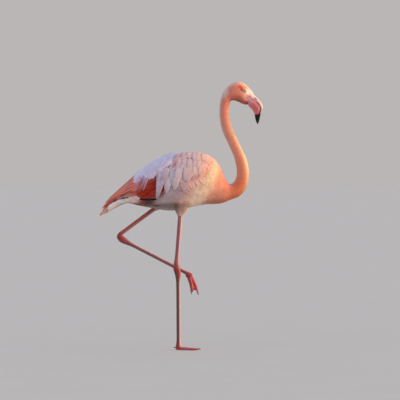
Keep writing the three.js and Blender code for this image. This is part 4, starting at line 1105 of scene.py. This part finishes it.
def billHalf(upper):
    # mouth + out * u, out to the culmen or keel by |sin|^p, sideways half width * |cos|^p; flat along the
    # mouth; over the first cuts the section turns from the head's own, drawn in to start under the skin
    cuts, last = billCuts()
    k = np.linspace(0, last, billSpec["rings"])
    cut, k = cuts(k), k[:, None]
    mouth, edge = cut[:, 2:4], cut[:, 0:2] if upper else cut[:, 4:6]
    long = np.linalg.norm(edge - mouth, axis=1)[:, None]
    way = (edge - mouth) / long
    power = billSpec["power"][0 if upper else 1]
    flatSides = billSpec["flatSides"]
    turn = np.linspace(0, np.pi, billSpec["sides"] - flatSides)
    flat = np.linspace(-1, 1, flatSides + 2)[1:-1]
    high = np.concatenate([np.abs(np.sin(turn)) ** power, 0 * flat])
    side = np.concatenate([np.sign(np.cos(turn)) * np.abs(np.cos(turn)) ** power, flat])
    mouthAt = 1 - billSpec["mouthShare"]
    asHead = np.where(high > 0, np.sign(side) * headSide(mix(mouthAt, 1.0 * upper, high)),
                      headSide(mouthAt) * side)
    start = 1 - rise(*billSpec["fromHead"], k)
    drawnIn = 1 - billSpec["drawnIn"] * (1 - rise(0, 1, k))
    width = cut[:, 6:7] * mix(billSpec["upperWidth"] if upper else 1, 1, start) * drawnIn
    if not upper:
        groove = np.exp(-((high - billSpec["grooveAt"]) / billSpec["grooveWide"]) ** 2) * np.abs(side) ** 0.5
        begun, ended = rise(*billSpec["grooveFrom"], k), rise(*billSpec["grooveTo"], k)
        width = width * (1 - billSpec["groove"] * groove * begun * (1 - ended))
    out = mix(billSpec["gap"], long * drawnIn, high)
    points = np.stack([mouth[:, :1] + way[:, :1] * out, width * mix(side, asHead, start),
                       mouth[:, 1:] + way[:, 1:] * out], -1)
    share, k = np.broadcast_to(high, out.shape), np.broadcast_to(k, out.shape)
    if upper:
        nostril = patchShare(points, *billSpec["nostril"])
        nostril = nostril * (np.abs(points[..., 1]) > billSpec["nostrilFrom"])
        # the ridge colour: the bill's own pale base, and a painted highlight along the culmen
        paint = [("upper", 1), ("ridge", rise(0.5, 0.9, share) * 0.8), ("ridge", 1 - rise(1.4, 3, k)),
                 ("gape", (1 - rise(2.6, 4, k)) * (1 - rise(0.2, 0.5, share))), ("nostrilColour", nostril)]
        points[..., 1] -= nostril * np.sign(points[..., 1]) * billSpec["nostrilDepth"]
    else:
        paint = [("lower", 1), ("lowerPale", np.exp(-((share - 0.2) / 0.16) ** 2) * 0.9),
                 ("keel", rise(0.62, 0.95, share) * 0.7),
                 ("gape", (1 - rise(1.2, 3.2, k)) * (1 - 0.6 * rise(0.5, 0.9, share)))]
    line = mix(0.5, billSpec["edgeWide"][0 if upper else 1], rise(3, 7, k))
    tipLine = points[..., 2] - billSpec["tipSlope"] * (points[..., 0] - billSpec["tipX"])
    paint += [("edge", (1 - rise(line, line + 1.2, share * long)) * rise(2.9, 3.8, k)),
              ("black", 1 - rise(*billSpec["blackFrom"], tipLine))]
    colours = np.zeros(points.shape)
    for name, strength in paint:
        colours = tint(colours, billSpec[name], strength)
    return tubePart(points, colours)


makePiece("billUpper", [billHalf(True)], billHorn, ["bill_upper"])
makePiece("billLower", [billHalf(False)], billHorn, ["bill_lower"])


# eyes and lids

eyeLook = {
    "pupil": 0.36, "iris": 0.74, "cornea": 0.05, "rings": 48, "sides": 48,    # pupil and iris in radians
    "pupilColour": "#0B0908", "irisInner": "#F2DC96", "irisOuter": "#D9B25C", "rim": "#4A2A18",
}
lidLook = {
    "radius": 5.9, "thick": 1.15, "long": 1.12, "high": 0.9, "turn": -35, "corner": 0.1, "rings": 64,
    "sides": 16, "sunk": 0.35, "colour": "#D98A70", "edge": "#A04C34",
    # the section, in thicknesses: how wide, how far out and how tall; and how much its outer side is lower
    "wide": 1.5, "out": 0.7, "tall": 0.9, "slope": 0.5,
}


def sideAxes(outward):
    # two directions across the eye's own: one forward and down the face, one up
    ahead = unitVector(np.cross(outward, np.array([0, 0, 1.0])))
    ahead = ahead * np.sign(ahead[0])
    above = np.cross(outward, ahead)
    return ahead, unitVector(above * np.sign(above[2]))


def eyePart(word):
    # a ball with a little dome for the cornea: r = radius (1 + cornea exp(-(polar / 0.5)^2))
    middle, outward = eyeFrames[word]
    ahead, above = sideAxes(outward)
    polar, turn = grid(np.linspace(0.02, np.pi - 0.02, eyeLook["rings"]), fullTurn(eyeLook["sides"]))
    radius = eyeSpec["radius"] * (1 + eyeLook["cornea"] * np.exp(-(polar / 0.5) ** 2))
    points = middle + (outward * (radius * np.cos(polar))[..., None]
                       + ahead * (radius * np.sin(polar) * np.cos(turn))[..., None]
                       + above * (radius * np.sin(polar) * np.sin(turn))[..., None])
    pupil, iris = eyeLook["pupil"], eyeLook["iris"]
    colours = tint(plainColour(eyeLook["irisInner"], points), eyeLook["irisOuter"], rise(0.4, iris, polar))
    colours = tint(colours, eyeLook["pupilColour"], 1 - rise(pupil - 0.03, pupil + 0.03, polar))
    return tubePart(points, tint(colours, eyeLook["rim"], rise(iris - 0.04, iris + 0.03, polar)))


def lidPart(word):
    # a ring round the eye: an oval of the lid's radius, its section an oval too, thicker outwards
    middle, outward = eyeFrames[word]
    ahead, above = sideAxes(outward)
    turn, section = grid(fullTurn(lidLook["rings"]), fullTurn(lidLook["sides"]))
    lean, thick = math.radians(lidLook["turn"]), lidLook["thick"]
    u, v = np.cos(turn) * lidLook["long"], np.sin(turn) * lidLook["high"]
    corner = 1 + lidLook["corner"] * np.cos(turn) ** 8
    x = (u * math.cos(lean) - v * math.sin(lean)) * corner
    y = (u * math.sin(lean) + v * math.cos(lean)) * corner
    radial = lidLook["radius"] + thick * (np.cos(section) * lidLook["wide"] + lidLook["out"])
    height = eyeSpec["sunk"] + thick * np.sin(section) * lidLook["tall"] - lidLook["sunk"]
    height = height - lidLook["slope"] * rise(0, 1, np.cos(section))
    points = middle + (ahead * (x * radial)[..., None] + above * (y * radial)[..., None]
                       + outward * height[..., None])
    colours = plainColour(lidLook["colour"], points)
    return ringPart(points, tint(colours, lidLook["edge"], rise(0.2, 0.9, -np.cos(section))))


def ringPart(points, colours):
    # a closed ring of sections: quads all the way round, with no ends
    rings, sides = points.shape[:2]
    ring, side = grid(np.arange(rings), np.arange(sides))
    here, ahead, beside = ring * sides, (ring + 1) % rings * sides, (side + 1) % sides
    quads = np.stack([here + side, here + beside, ahead + beside, ahead + side], -1)
    flat = points.reshape(-1, 3)
    quads, tris = facingOut(flat - flat.mean(0), quads.reshape(-1, 4), np.zeros((0, 3), int))
    return {"points": flat, "quads": quads, "tris": tris, "colours": colours.reshape(-1, 3)}


for word in sideSign:
    makePiece("eye" + word.capitalize(), [eyePart(word)], wetEye, ["eye_" + word])
makePiece("lids", [lidPart(word) for word in sideSign], downySkin)
print("bill, eyes and lids made")


# legs

legSpec = {
    # rim scales the painted sunlight on a leg's front above the hock; glow brightens the colour below the
    # hock as painted light
    "right": {"top": (8.6, -35, 556), "shinFoot": (-10, -20.5, 320), "tarsusHead": (-1.4, -20.5, 320),
              "joint": (0, 0, 11), "rounding": 34, "swell": (0, 34, 34),
              "topColour": "#B0787E", "shinColour": "#9C5A62", "rim": 1, "glow": 1},
    "left": {"top": (-84, 38, 574), "shinFoot": (-240, 46, 458), "tarsusHead": (-232, 46, 443.5),
             "joint": (46, 40, 300.5), "rounding": 22, "swell": (8, 20, 36),
             "topColour": "#AE564C", "shinColour": "#AE564C", "rim": 0.5, "glow": 1.5},
    # radii fore and aft, and aside
    "shinTop": (8.7, 6.8), "shin": (8.1, 6.3), "tarsus": (7.7, 5.5), "hockSize": (13.4, 10),
    "ball": (11.4, 9), "ballSpread": 15, "swellPower": 2.2, "sides": 40,
    # the plates in front, their seams, and the knobs on the hock: how high, how close along and how many
    "scute": 5.2, "seamDeep": 0.04, "seamSharp": 0.35, "seamShade": 0.4,
    "knob": 0.03, "knobsAlong": 0.9, "knobsRound": 5,
    # the share of painted sunlight on a leg's front, and how much less of it on the hock
    "paintedSunOnFront": 0.88, "hockLessPaintedSun": 0.7,
    "hockColour": "#982026", "tarsusColour": "#704745", "ballColour": "#A03A3E",
    # front is the colour of that painted sunlight
    "front": "#F2CFC6", "seam": "#8E4A48",
}


def hockPath(leg, count):
    # the lines of shin and tarsus, joined by a cubic curve that starts and ends a rounding from the hock
    ends = ("top", "shinFoot", "tarsusHead", "joint")
    top, foot, head, joint = [np.array(leg[key], float) for key in ends]
    upWay, downWay = unitVector(top - foot) * leg["rounding"], unitVector(joint - head) * leg["rounding"]
    before, after = foot + upWay, head + downWay
    firstPull, lastPull = foot - upWay * 0.25, head - downWay * 0.25
    t = np.linspace(0, 1, 41)[:, None]
    curved = (before * (1 - t) ** 3 + 3 * firstPull * t * (1 - t) ** 2
              + 3 * lastPull * t ** 2 * (1 - t) + after * t ** 3)
    return np.vstack([top + (before - top) * np.linspace(0, 1, count, endpoint=False)[:, None], curved,
                      after + (joint - after) * np.linspace(0, 1, count)[1:, None]])


def sweep(path, fore, aside, sides):
    # a tube along a path: fore * cos in the plane of the leg, aside * sin across it
    ahead = unitVector(np.gradient(path, axis=0))
    rightward = np.array([0, -1.0, 0])
    across = unitVector(rightward - ahead * (ahead @ rightward)[:, None])
    front = np.cross(across, ahead)
    turn = fullTurn(sides)
    return (path[:, None] + front[:, None] * (fore * np.cos(turn))[..., None]
            + across[:, None] * (aside * np.sin(turn))[..., None])


def legPart(word):
    # the radii follow the distance from hock and toe joint, shaft + swelling * exp(-(d / spread)^power),
    # with plates in front; the front is painted paler as sunlight, and the leg below the hock brighter as
    # painted light
    leg = legSpec[word]
    path = hockPath(leg, 180)
    run = np.concatenate([[0], np.cumsum(np.linalg.norm(np.diff(path, axis=0), axis=1))])
    middle = (np.array(leg["shinFoot"], float) + np.array(leg["tarsusHead"], float)) / 2
    atHock = run[np.argmin(np.linalg.norm(path - middle, axis=1))]
    offset, spreadAbove, spreadBelow = leg["swell"]
    fromHock, toJoint = run - atHock - offset, run[-1] - run
    below = rise(-20, 20, fromHock)
    spread = np.where(fromHock < 0, spreadAbove, spreadBelow)
    swell = np.exp(-np.abs(fromHock / spread) ** legSpec["swellPower"])
    sizes = []
    for i in (0, 1):
        shin = mix(legSpec["shinTop"][i], legSpec["shin"][i], rise(0, atHock * 0.7, run))
        shaft = mix(shin, legSpec["tarsus"][i], below)
        size = shaft + (legSpec["hockSize"][i] - shaft) * swell
        ball = (legSpec["ball"][i] - shaft) * np.exp(-(toJoint / legSpec["ballSpread"]) ** 2)
        sizes.append((size + ball)[:, None])
    seam = np.abs(np.sin(np.pi * run / legSpec["scute"])) ** legSpec["seamSharp"]
    turn, tall, swell = fullTurn(legSpec["sides"]), run[:, None], swell[:, None]
    plated = rise(0.1, 0.6, np.cos(turn))
    relief = 1 - legSpec["seamDeep"] * (1 - seam[:, None]) * plated * (1 - swell)
    knobsUp, knobsRound = np.sin(tall * legSpec["knobsAlong"]), np.sin(turn * legSpec["knobsRound"])
    knobs = 1 + legSpec["knob"] * swell * knobsUp * knobsRound
    points = sweep(path, sizes[0] * relief * knobs, sizes[1] * relief * knobs, legSpec["sides"])
    shin, tarsus = leg["shinColour"], legSpec["tarsusColour"]
    codes = [leg["topColour"], shin, shin, legSpec["hockColour"], tarsus, tarsus, legSpec["ballColour"]]
    at = [0, 60, atHock - 30, atHock, atHock + 40, run[-1] - 20, run[-1]]
    # glow brightens the colour below the hock as painted light
    shade = mix(1, leg["glow"], below[:, None]) * stepped(at, [linearColour(code) for code in codes], run)
    # painted sunlight: the front of the leg paler, less on the hock, and scaled by rim above it
    paintedSunOnFront = legSpec["paintedSunOnFront"] - legSpec["hockLessPaintedSun"] * swell
    paintedSunOnFront = rise(0.35, 0.85, np.cos(turn)) * paintedSunOnFront * mix(leg["rim"], 1, below[:, None])
    colours = tint(np.broadcast_to(shade[:, None], points.shape), legSpec["front"], paintedSunOnFront)
    seamShare = (1 - seam[:, None]) * plated * legSpec["seamShade"]
    return tubePart(points, tint(colours, legSpec["seam"], seamShare))


for word in sideSign:
    makePiece("leg" + word.capitalize(), [legPart(word)], scalyLegSkin,
              ["shin_" + word, "hock_" + word, "tarsus_" + word])


# feet

toeSpec = {
    # length, turn in degrees, radius at root and tip, height over the floor, claw, and when lifted how much
    # steeper it hangs and how far back it starts
    "keys": ("length", "turn", "root", "tip", "above", "claw", "hang", "back"),
    "toes": {
        "inner": (66, 33, 6.0, 3.5, 0, 8.5, 0, 5),
        "middle": (82, 0, 6.4, 3.6, 0, 8.5, -9, 0),
        "outer": (76, -31, 6.0, 3.5, 0, 8.5, 0, 12),
        "hind": (15, 172, 3.4, 2.4, 7, 5, -136, 0),
    },
    "rings": 90, "sides": 20, "knuckle": 0.1, "knuckles": 3, "plate": 2.6, "seamDeep": 0.05,
    "seamSharp": 0.4, "seamShade": 0.82, "roundFrom": 0.96, "roundOver": 0.04, "roundLeast": 0.12,
    "settled": 0.28, "sunk": 0.86,    # of a toe on the floor: where it is down, and its height in radii
    "drop": 74, "spread": 0.42, "curl": 22,    # of a lifted foot
    "pad": (10, 7), "padShade": 0.8,    # the standing foot's pad: radius and height
    "balls": {"right": ((0, 0, 0), (11.8, 9.2, 10.2)), "left": ((-4, 0, -3), (14, 9.2, 12))},
    "colour": "#CC5A5E", "top": "#C85256", "web": "#B85458", "webEdge": "#A8484C", "clawColour": "#2E2220",
}
toes = {name: dict(zip(toeSpec["keys"], values)) for name, values in toeSpec["toes"].items()}
webSpec = {
    "thick": 1.3, "reach": 0.86, "notch": 0.66, "below": 0.6, "sag": {"right": 1.6, "left": 3},
    "rows": 40, "columns": 26, "rings": 60, "ripple": 0.12, "ripplesAcross": 34, "ripplesAlong": 9,
}
# a claw's radius is at most this, or this share of its toe's tip
clawSpec = {
    "radius": 2.3, "ofToe": 0.86, "narrows": 0.8, "bend": 0.3, "raised": 0.6, "rootShade": 2.2,
    "rings": 26, "sides": 16,
}


def toePath(toe, word, rings):
    # steps of equal length along the toe; a lifted toe hangs by its drop and curls evenly along it
    lifted = word == "left"
    folded = lifted and toe is not toes["hind"]
    turn = math.radians(toe["turn"] * sideSign[word] * (toeSpec["spread"] if folded else 1))
    t = np.linspace(0, 1, rings)
    drop = toeSpec["drop"] + toe["hang"] if lifted else 0
    bend = np.radians(drop + (toeSpec["curl"] * (t - 0.4) if folded else 0 * t))
    step = np.stack([np.cos(bend) * math.cos(turn), np.full(rings, math.sin(turn)),
                     -np.sin(bend) * math.cos(turn)], -1)
    walked = np.concatenate([np.zeros((1, 3)), np.cumsum((step[1:] + step[:-1]) / 2, axis=0)])
    knuckles = np.cos(t * 2 * np.pi * toeSpec["knuckles"])
    radius = mix(toe["root"], toe["tip"], t) * (1 + toeSpec["knuckle"] * knuckles)
    joint = np.array(legSpec[word]["joint"], float)
    path = walked * toe["length"] / (rings - 1) + joint
    if lifted:
        path[:, 0] -= toe["back"]
    else:
        lowered = np.ones(rings) if toe["above"] else rise(0, toeSpec["settled"], t)
        path[:, 2] += (radius * toeSpec["sunk"] + toe["above"] - joint[2]) * lowered
    return path, radius, t


def footParts(word):
    # toes as tubes with plates on top and rounded ends, and a ball and pad at the joint
    parts = []
    turn = fullTurn(toeSpec["sides"])
    for toe in toes.values():
        path, radius, t = toePath(toe, word, toeSpec["rings"])
        rounded = np.clip((t - toeSpec["roundFrom"]) / toeSpec["roundOver"], 0, 1)
        end = np.sqrt(np.clip(1 - rounded ** 2, toeSpec["roundLeast"], 1))
        seam = np.abs(np.sin(np.pi * t * toe["length"] / toeSpec["plate"])) ** toeSpec["seamSharp"]
        relief = 1 - toeSpec["seamDeep"] * (1 - seam[:, None]) * rise(0, 0.5, np.sin(turn))
        points = toeTube(path, (radius * end)[:, None] * relief)
        if word == "right":
            points[..., 2] = np.maximum(points[..., 2], 0)
        colours = tint(plainColour(toeSpec["colour"], points), toeSpec["top"], rise(0, 1, np.sin(turn)))
        parts.append(tubePart(points, colours * mix(toeSpec["seamShade"], 1, seam)[:, None, None]))
    joint = np.array(legSpec[word]["joint"], float)
    polar, around = grid(np.linspace(0.05, np.pi - 0.05, 22), fullTurn(28))
    away, (fore, aside, tall) = toeSpec["balls"][word]
    wide = np.sin(polar)
    ball = np.stack([fore * wide * np.cos(around), aside * wide * np.sin(around), tall * np.cos(polar)], -1)
    ball = joint + away + ball
    parts.append(tubePart(ball, plainColour(legSpec["ballColour"], ball)))
    if word == "right":
        high, around = grid(np.linspace(0, 1, 10), fullTurn(28))
        wide = toeSpec["pad"][0] * np.sqrt(np.clip(1 - high ** 3, 0.02, 1))
        pad = np.stack([wide * np.cos(around), wide * np.sin(around), high * toeSpec["pad"][1]], -1)
        pad = joint * [1, 1, 0] + pad
        parts.append(tubePart(pad, plainColour(toeSpec["colour"], pad) * toeSpec["padShade"]))
    return parts


def toeTube(path, size):
    # rings across the path: size * cos sideways, size * sin upwards
    ahead = unitVector(np.gradient(path, axis=0))
    upright = abs(ahead[len(path) // 2, 2]) > 0.9
    hint = np.broadcast_to([1.0, 0, 0] if upright else [0, 0, 1.0], ahead.shape)
    sideways = unitVector(np.cross(hint, ahead))
    upward = np.cross(ahead, sideways)
    turn = fullTurn(size.shape[1])
    return (path[:, None] + sideways[:, None] * (size * np.cos(turn))[..., None]
            + upward[:, None] * (size * np.sin(turn))[..., None])


def webPart(word, firstName, secondName):
    # a thin closed sheet between two toes: (1 - v) first(r t) + v second(r t), where r is less by sin(pi v)
    last = webSpec["rings"] - 1
    paths = [toePath(toes[name], word, webSpec["rings"])[0] for name in (firstName, secondName)]
    t, v = grid(np.linspace(0, 1, webSpec["rows"]), np.linspace(0, 1, webSpec["columns"]))
    reach = mix(webSpec["reach"], webSpec["notch"], np.sin(np.pi * v)) * t * last
    low = np.minimum(reach.astype(int), last - 1)
    lines = [path[low] + (path[low + 1] - path[low]) * (reach - low)[..., None] for path in paths]
    sheet = mix(lines[0], lines[1], v[..., None])
    normal = unitVector(np.cross(lines[0][-1, 0] - lines[0][0, 0], lines[1][-1, -1] - lines[1][0, 0]))
    normal = normal * (np.sign(normal[2]) if abs(normal[2]) > 0.3 else -np.sign(normal[0]))
    ripples = np.sin(v * webSpec["ripplesAcross"] + t * webSpec["ripplesAlong"])
    thick = webSpec["thick"] * mix(0.5, 1, 1 - t ** 4) * (1 + webSpec["ripple"] * ripples)
    sheet = sheet - normal * (np.sin(np.pi * v) * t * webSpec["sag"][word])[..., None]
    if word == "right":
        sheet[..., 2] = np.maximum(sheet[..., 2] - webSpec["below"], 1.0)
    upper, lower = sheet + normal * thick[..., None] / 2, sheet - normal * thick[..., None] / 2
    loop = np.concatenate([upper, lower[:, ::-1]], 1)
    share = np.concatenate([t, t[:, ::-1]], 1)
    return tubePart(loop, tint(plainColour(toeSpec["web"], loop), toeSpec["webEdge"], rise(0.8, 1, share)))


def clawPart(toe, word):
    # a horn that narrows to its point and bends down: radius (1 - narrows t^1.5)
    path, radius, t = toePath(toe, word, 60)
    way = unitVector(path[-1] - path[-4])
    start, size = path[-1] - way * 0.5, min(clawSpec["radius"], toe["tip"] * clawSpec["ofToe"])
    t = np.linspace(0, 1, clawSpec["rings"])
    raised = (clawSpec["raised"] if word == "right" else 0) - size * clawSpec["bend"] * t ** 2
    line = start + way * (toe["claw"] * t)[:, None] + np.array([0, 0, 1.0]) * raised[:, None]
    narrowing = size * (1 - clawSpec["narrows"] * t ** 1.5)
    points = toeTube(line, narrowing[:, None] * np.ones(clawSpec["sides"]))
    if word == "right":
        points[..., 2] = np.maximum(points[..., 2], 0.05)
    shade = mix(clawSpec["rootShade"], 1, rise(0, 0.5, t))
    return tubePart(points, plainColour(toeSpec["clawColour"], points) * shade[:, None, None])


for word in sideSign:
    webs = [webPart(word, "inner", "middle"), webPart(word, "middle", "outer")]
    claws = [clawPart(toe, word) for toe in toes.values()]
    makePiece("foot" + word.capitalize(), footParts(word) + webs, scalyLegSkin,
              ["foot_" + word])
    makePiece("claws" + word.capitalize(), claws, clawHorn,
              ["claw_" + name + "_" + word for name in toes])
print("legs and feet made")


# floor, light and camera

studio = {
    "floorSize": 400.0, "floorColour": "#CACFC2",
    "horizon": "#B9B6B5", "zenith": "#B4BEDC", "worldStrength": 1.0,
    # name, the way the light comes from, strength, how wide it looks in degrees, colour
    "suns": [
        ("warmKey", (0.94, -0.24, 0.26), 3.3, 14, "#FFC892"),
        ("coolFill", (-0.45, -0.70, 0.55), 0.5, 60, "#D8DFFF"),
    ],
    "camera": (0.086, -12.0, 0.69), "lookAt": (0.086, 0.0, 0.600),
    "lens": 270.0, "sensor": 36, "seesTo": 200,
}


def floorMaterial():
    # matt painted studio floor, faintly uneven
    paint = tuple(linearColour(studio["floorColour"]))
    material, tree, colour, noise = startMaterial("mattPaintedFloor", 300, 0.99, 1.01, paint)
    finishMaterial(tree, {"Base Color": colour, "Roughness": 0.8})
    return material


half = studio["floorSize"] / 2
floorCorners = [(-half, -half, 0), (half, -half, 0), (half, half, 0), (-half, half, 0)]
floorMesh = bpy.data.meshes.new("floor")
floorMesh.from_pydata(floorCorners, [], [(0, 1, 2, 3)])
floor = intoScene("floor", floorMesh)
floorMesh.materials.append(floorMaterial())


def paleRoom():
    # light from all round: horizon colour mixed to the zenith's by the height of the direction
    world = bpy.data.worlds.new("paleRoom")
    world.use_nodes = True
    tree = world.node_tree
    tree.nodes.clear()
    place = addNode(tree, "ShaderNodeTexCoord")
    way = addNode(tree, "ShaderNodeSeparateXYZ", inputs={0: place.outputs["Generated"]})
    high = addNode(tree, "ShaderNodeMapRange", inputs={
        "Value": way.outputs["Z"], "From Min": 0.08, "From Max": 0.6})
    horizon, zenith = [(*linearColour(studio[key]), 1) for key in ("horizon", "zenith")]
    blend = addNode(tree, "ShaderNodeMix", {"data_type": "RGBA"}, {
        0: high.outputs[0], 6: horizon, 7: zenith})
    glow = addNode(tree, "ShaderNodeBackground", inputs={
        "Color": blend.outputs[2], "Strength": studio["worldStrength"]})
    addNode(tree, "ShaderNodeOutputWorld", inputs={"Surface": glow.outputs[0]})
    return world


bpy.context.scene.world = paleRoom()
bpy.context.scene.view_settings.view_transform = "Standard"


def aim(thing, place, target):
    # turned so that its own -Z looks from place to target
    thing.location = place
    thing.rotation_euler = (Vector(target) - Vector(place)).to_track_quat("-Z", "Y").to_euler()


for name, place, strength, width, code in studio["suns"]:
    lamp = bpy.data.lights.new(name, "SUN")
    lamp.energy, lamp.angle, lamp.color = strength, math.radians(width), tuple(linearColour(code))
    aim(intoScene(name, lamp), place, (0, 0, 0))

cameraData = bpy.data.cameras.new("camera")
cameraData.lens, cameraData.sensor_width = studio["lens"], studio["sensor"]
cameraData.clip_end = studio["seesTo"]
camera = intoScene("camera", cameraData)
aim(camera, studio["camera"], studio["lookAt"])
bpy.context.scene.camera = camera
print("floor, light and camera set")
